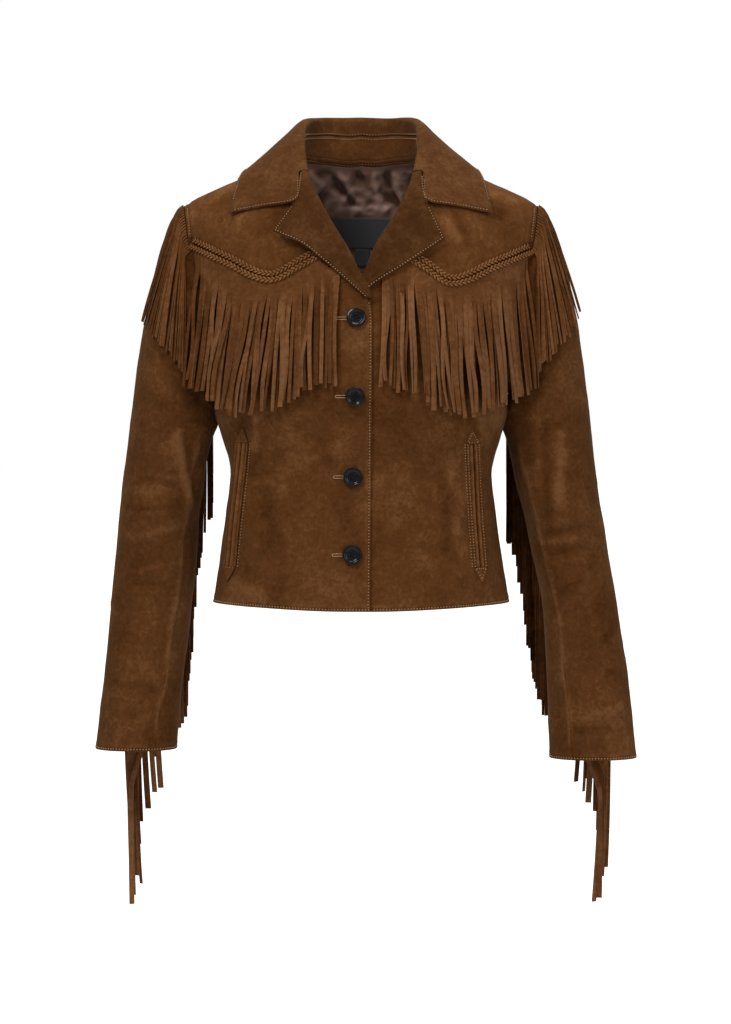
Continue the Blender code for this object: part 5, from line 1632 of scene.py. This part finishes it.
lapels = {}
for hand, word in SIDE.items():
    up, across = shares_of(LAPEL_FINE)
    grid = refine(lapel_grid(hand, 11, 4), up, across)
    outer, top = edge_away(grid, 1, True), edge_away(grid, 0, True)
    relief = puff(outer, COLLAR_STITCH) + puff(top, COLLAR_STITCH) * (across > 0.2)
    relief = relief + 0.0005 * wander(*laid_out(grid, 0.003), 0.06, 19 + hand)
    free = ramp(across, 0.50, 1.0)[None, :] * ramp(up, 0.20, 0.75)[:, None]
    grid, normals = raised(grid, relief + LAPEL_STAND[hand] * free, np.array([0.0, -1.0, 0.2]))
    lapels[hand] = grid, normals
    # Lapel tone: rubbing on its turned edge, painted shade in its hollows and stitch lines
    wear_and_shade = rub_and_crease_shade(relief, 0.02)
    sheet_piece(f"lapel_{word}", grid, suedes["lapel"], hand < 0, wear_and_shade, COLLAR_SHELL)


# Lining, label and tab
def lining_relief(x, z):
    """Soft puckers of the satin, calmer under the label."""
    wide = 1 - 2.2 * np.abs(wander(x, z, 0.034, 31))
    fine = 1 - 2.2 * np.abs(wander(x, z, 0.017, 33))
    height = uneven(x, z, LINING_FOLDS) + 0.0014 * wide + 0.0005 * fine
    calm = ramp(np.maximum(np.abs(x) - LABEL_HALF, LABEL_LOW - z), -0.004, 0.010)
    calm = np.maximum(calm, ramp(z - LABEL_TOP, -0.004, 0.008))
    return np.maximum(height * mix(0.22, 1.0, calm), -0.0022)


columns = np.linspace(-1, 1, LINING_FINE[1])[None, :] * LINING_HALF
rows = np.sin(np.linspace(0, 1, LINING_FINE[0]) * math.pi / 2)[:, None]
x = columns + np.zeros_like(rows)
top = np.where(np.abs(x) < NECK_HALF, neck_height(x), shoulder_z(x) - 0.004) - WALL
z = mix(LINING_LOW, top, rows)
keep = ramp(top - z, 0.001, 0.012)
relief = lining_relief(x, z) * keep
lining = on_body(x, z, 1, -(WALL + LINING_IN) - relief)
# Satin tone from its puckers: painted highlight on the ridges, painted shade in the troughs
sheet_piece("back_lining", lining, satin_look, True, 0.46 + relief / 0.0070, LINING_SHELL)

for name, half, low, high, shift in (
    ("label", LABEL_HALF, LABEL_LOW, LABEL_TOP, 0.0),
    ("size_tab", TAB_HALF, TAB_LOW, LABEL_LOW - 0.0005, 0.0015),
):
    x = np.linspace(-1, 1, LABEL_FINE[1])[None, :] * half + shift + np.zeros((LABEL_FINE[0], 1))
    z = np.linspace(low, high, LABEL_FINE[0])[:, None] + np.zeros_like(x)
    inset = -(WALL + LINING_IN + LABEL_IN) - 0.0004 * wander(x, z, 0.05, 37)
    sheet_piece(name, on_body(x, z, 1, inset), label_look, True, None, LABEL_SHELL)

# Fringe, plaits, pockets and buttons
for hand, word in SIDE.items():
    fringe_piece(f"fringe_yoke_{word}", yoke_strands(hand), YOKE_LIGHT[hand])
    fringe_piece(f"fringe_shoulder_{word}", shoulder_strands(hand), SHOULDER_LIGHT)
    # The sleeve strands nearest the armpit carry painted shade
    fringe_piece(f"fringe_sleeve_{word}", sleeve_strands(hand), SLEEVE_STRAND_SHADE[hand])
    braid_piece(hand, f"braid_{word}", suedes["braid"])
    pocket_piece(hand, f"pocket_{word}", suedes["pocket"])
for index, place in enumerate(BUTTONS, start=1):
    button_piece(index, place, horn_look)


# Sewing
def body_path(x, z, hand):
    """Path over the front face, with its normals."""
    return front_skin(x, z, hand, STITCH_LIFT), body_normal(x, z, -1)


def sewn(name, paths, **sizes):
    """A piece made of stitches."""
    points, faces = stitch_mesh(paths, **sizes)
    return piece(name, points, faces, thread_look)


body_rows = []
heights = np.linspace(HEM_FRONT_Z + 0.003, -0.168, 120)
body_rows.append(body_path(ease(FRONT_EDGE, "right", heights) - FRONT_STITCH, heights, -1))
for hand in SIDE:
    start = -ease(FRONT_EDGE, "right", HEM_FRONT_Z) if hand < 0 else 0.013
    xs = np.linspace(start, 0.166, 60)
    body_rows.append(body_path(hand * xs, hem_height(xs) + HEM_STITCH, hand))
    zs = np.linspace(-0.094, -0.060, 20)
    body_rows.append(body_path(hand * (armhole_x(zs) - 0.0030), zs, hand))
xs = np.linspace(-0.166, 0.166, 120)
zs = np.full(120, HEM_SIDE_Z + HEM_STITCH)
body_rows.append((on_body(xs, zs, 1, back_relief(xs, zs) + STITCH_LIFT), body_normal(xs, zs, 1)))
sewn("stitches_body", body_rows)

sleeve_rows = []
for hand in SIDE:
    turn = np.linspace(0, 1, 140)
    reach = np.full(140, 2 - CUFF_STITCH / SLEEVE_LONG)
    sleeve_rows.append((sleeve_skin(turn, reach, hand, STITCH_LIFT), sleeve_normal(turn, reach, hand)))
sewn("stitches_cuffs", sleeve_rows)


def grid_path(grid, normals, rows, columns, lift=STITCH_LIFT):
    """Path over a grid at fractional rows and columns."""
    points, out = between(grid, normals, rows, columns)
    return points + out * lift, out


def place_in(line, depth, last):
    """Fractional number of a point at a distance in from a line's first or last point."""
    run = distances(line[::-1] if last else line)
    found = float(np.interp(depth, run, np.arange(len(run))))
    return len(line) - 1 - found if last else found


def side_path(grid, normals, rows, depth, last=True, lift=STITCH_LIFT):
    """Path at a depth in from a grid's first or last column."""
    return grid_path(grid, normals, rows, np.array([place_in(grid[r], depth, last) for r in rows]), lift)


def end_path(grid, normals, columns, depth, last):
    """Path at a depth in from a grid's first or last row."""
    return grid_path(grid, normals, np.array([place_in(grid[:, c], depth, last) for c in columns]), columns)


count = collar.shape[0]
collar_rows = [side_path(collar, collar_normals, np.arange(2, count - 2), COLLAR_STITCH)]
for last in (False, True):
    columns = np.arange(13, collar.shape[1] - 1)
    collar_rows.append(end_path(collar, collar_normals, columns, COLLAR_STITCH, last))
for grid, normals in lapels.values():
    collar_rows.append(side_path(grid, normals, np.arange(1, grid.shape[0] - 1), COLLAR_STITCH))
    collar_rows.append(end_path(grid, normals, np.arange(12, grid.shape[1] - 1), COLLAR_STITCH, True))
collar_rows.append(side_path(collar, collar_normals, np.arange(22, count - 22), 0.0026, False))
stand_normals = grid_normals(stand, np.array([0.0, -1.0, 0.0]), 4)
rows = np.arange(6, stand.shape[0] - 6)
collar_rows.append(side_path(stand, stand_normals, rows, 0.0032, True, 0.0004))
sewn("stitches_collar", collar_rows)

# Bound edge where the stand meets the lining
binding = []
shares = np.linspace(0, 1, BINDING_FINE[1])
groove = -0.0009 * bell(shares - 0.62, 0.09)
for w in np.linspace(-0.70, 0.70, BINDING_FINE[0]):
    seam = neck_seam(abs(w)) * np.array([-1.0 if w < 0 else 1.0, 1, 1])
    inward = unit(np.array([-seam[0], -seam[1], 0.0]))
    wave = 0.0011 * math.sin(w * 9.0 + 0.6) + 0.0007 * math.sin(w * 23.0)
    foot = seam + inward * (FOOT_IN + 0.0010) + np.array([0, 0, FOOT_UP])
    under = on_body(seam[0], seam[2] - 0.0030 + wave, 1 if seam[1] > 0 else -1, -0.0036)
    bulge = 0.0014 * np.sin(math.pi * shares) + groove
    binding.append(mix(foot, under, shares[:, None]) + inward * bulge[:, None])
binding = np.array(binding)
# Painted shade in the groove of the bound edge
rub_and_shade = np.full(binding.shape[:2], 0.62) - 0.30 * (np.abs(shares - 0.62) < 0.07)[None, :]
quads = grid_faces(*binding.shape[:2], True)
piece("neck_binding", binding, quads, suedes["collar"], (), BAND_SHELL, -1.0, True, rub_and_shade)
binding_normals = grid_normals(binding, np.array([0.0, -1.0, 0.0]), 4)
rows = np.arange(3, BINDING_FINE[0] - 3)
sewn("stitches_binding", [grid_path(binding, binding_normals, rows, np.full(len(rows), 4.4), 0.0009)])

pocket_rows = []
for hand, table in POCKET.items():
    low, high = table[0].z, table[-1].z
    lines = []
    zs = np.linspace(low + 0.016, high - 0.016, 50)
    for aside, rise in ((-0.0062, 0.0014), (0.0062, 0.0014), (0.0090 * -hand, 0.0004)):
        lines.append((hand * ease(table, "x", zs) + aside, zs, rise))
    for tip, base in ((low + 0.0030, low + 0.0150), (high - 0.0030, high - 0.0150)):
        middle = hand * ease(table, "x", base)
        corners = [(middle - 0.0058, base), (hand * ease(table, "x", tip), tip), (middle + 0.0058, base)]
        for (x0, z0), (x1, z1) in zip(corners, corners[1:] + corners[:1]):
            lines.append((np.linspace(x0, x1, 14), np.linspace(z0, z1, 14), 0.0014))
    for xs, zs, rise in lines:
        pocket_rows.append(([lay(x, z, rise) for x, z in zip(xs, zs)], body_normal(xs, zs, -1)))
sewn("stitches_pockets", pocket_rows)

hole_rows = []
for place in BUTTONS:
    outer = place.x - SLOT_LONG
    for side in (-1, 1):
        zs = np.full(16, place.z + side * SLOT_HALF)
        hole_rows.append(body_path(np.linspace(outer, place.x - 0.004, 16), zs, -1))
    angle = np.linspace(math.pi * 0.5, math.pi * 1.5, 10)
    hole_rows.append(body_path(outer + 0.0014 * np.cos(angle), place.z + SLOT_HALF * np.sin(angle), -1))
sewn("buttonholes", hole_rows, pitch=0.0011, length=0.0017, half=0.00055)


# Floor, light and camera
def lamp(name, place, aim, size, power):
    """A soft square lamp."""
    light = bpy.data.lights.new(name, "AREA")
    light.shape = "SQUARE"
    light.size = size
    light.energy = power
    item = shown(name, light)
    item.location = place
    item.rotation_euler = (Vector(aim) - Vector(place)).to_track_quat("-Z", "Y").to_euler()


world = bpy.data.worlds.new("studio")
world.use_nodes = True
bpy.context.scene.world = world
tree = world.node_tree
ground = tree.nodes["Background"]
wire(tree, (1, 1, 1, 1), ground.inputs["Color"])
seen = node(tree, "LightPath", "Is Camera Ray", {})
level = node(tree, "MapRange", "Result", {"Value": seen, "To Min": AMBIENT, "To Max": 1.0})
wire(tree, level, ground.inputs["Strength"])

floor_look, tree, floor_shader = plain("floor", (0.80, 0.80, 0.80), 0.9, [("Emission Color", (1, 1, 1, 1))])
wire(tree, node(tree, "LightPath", "Is Camera Ray", {}), floor_shader.inputs["Emission Strength"])
corners = [(x * FLOOR_HALF, y * FLOOR_HALF, FLOOR_Z) for x, y in ((-1, -1), (1, -1), (1, 1), (-1, 1))]
floor = shown("floor", mesh_of("floor", corners, [(0, 1, 2, 3)]))
floor.data.materials.append(floor_look)

for name, place, size, power in LAMPS:
    lamp(name, place, LAMP_AIM, size, power)

camera = bpy.data.cameras.new("camera")
camera.sensor_width = CAMERA_SENSOR
camera.lens = CAMERA_LENS
camera.shift_y = CAMERA_SHIFT
view = shown("camera", camera)
view.location = CAMERA_PLACE
view.rotation_euler = (math.pi / 2, 0.0, 0.0)
bpy.context.scene.camera = view
bpy.context.scene.view_settings.view_transform = "Standard"

bpy.context.view_layer.update()
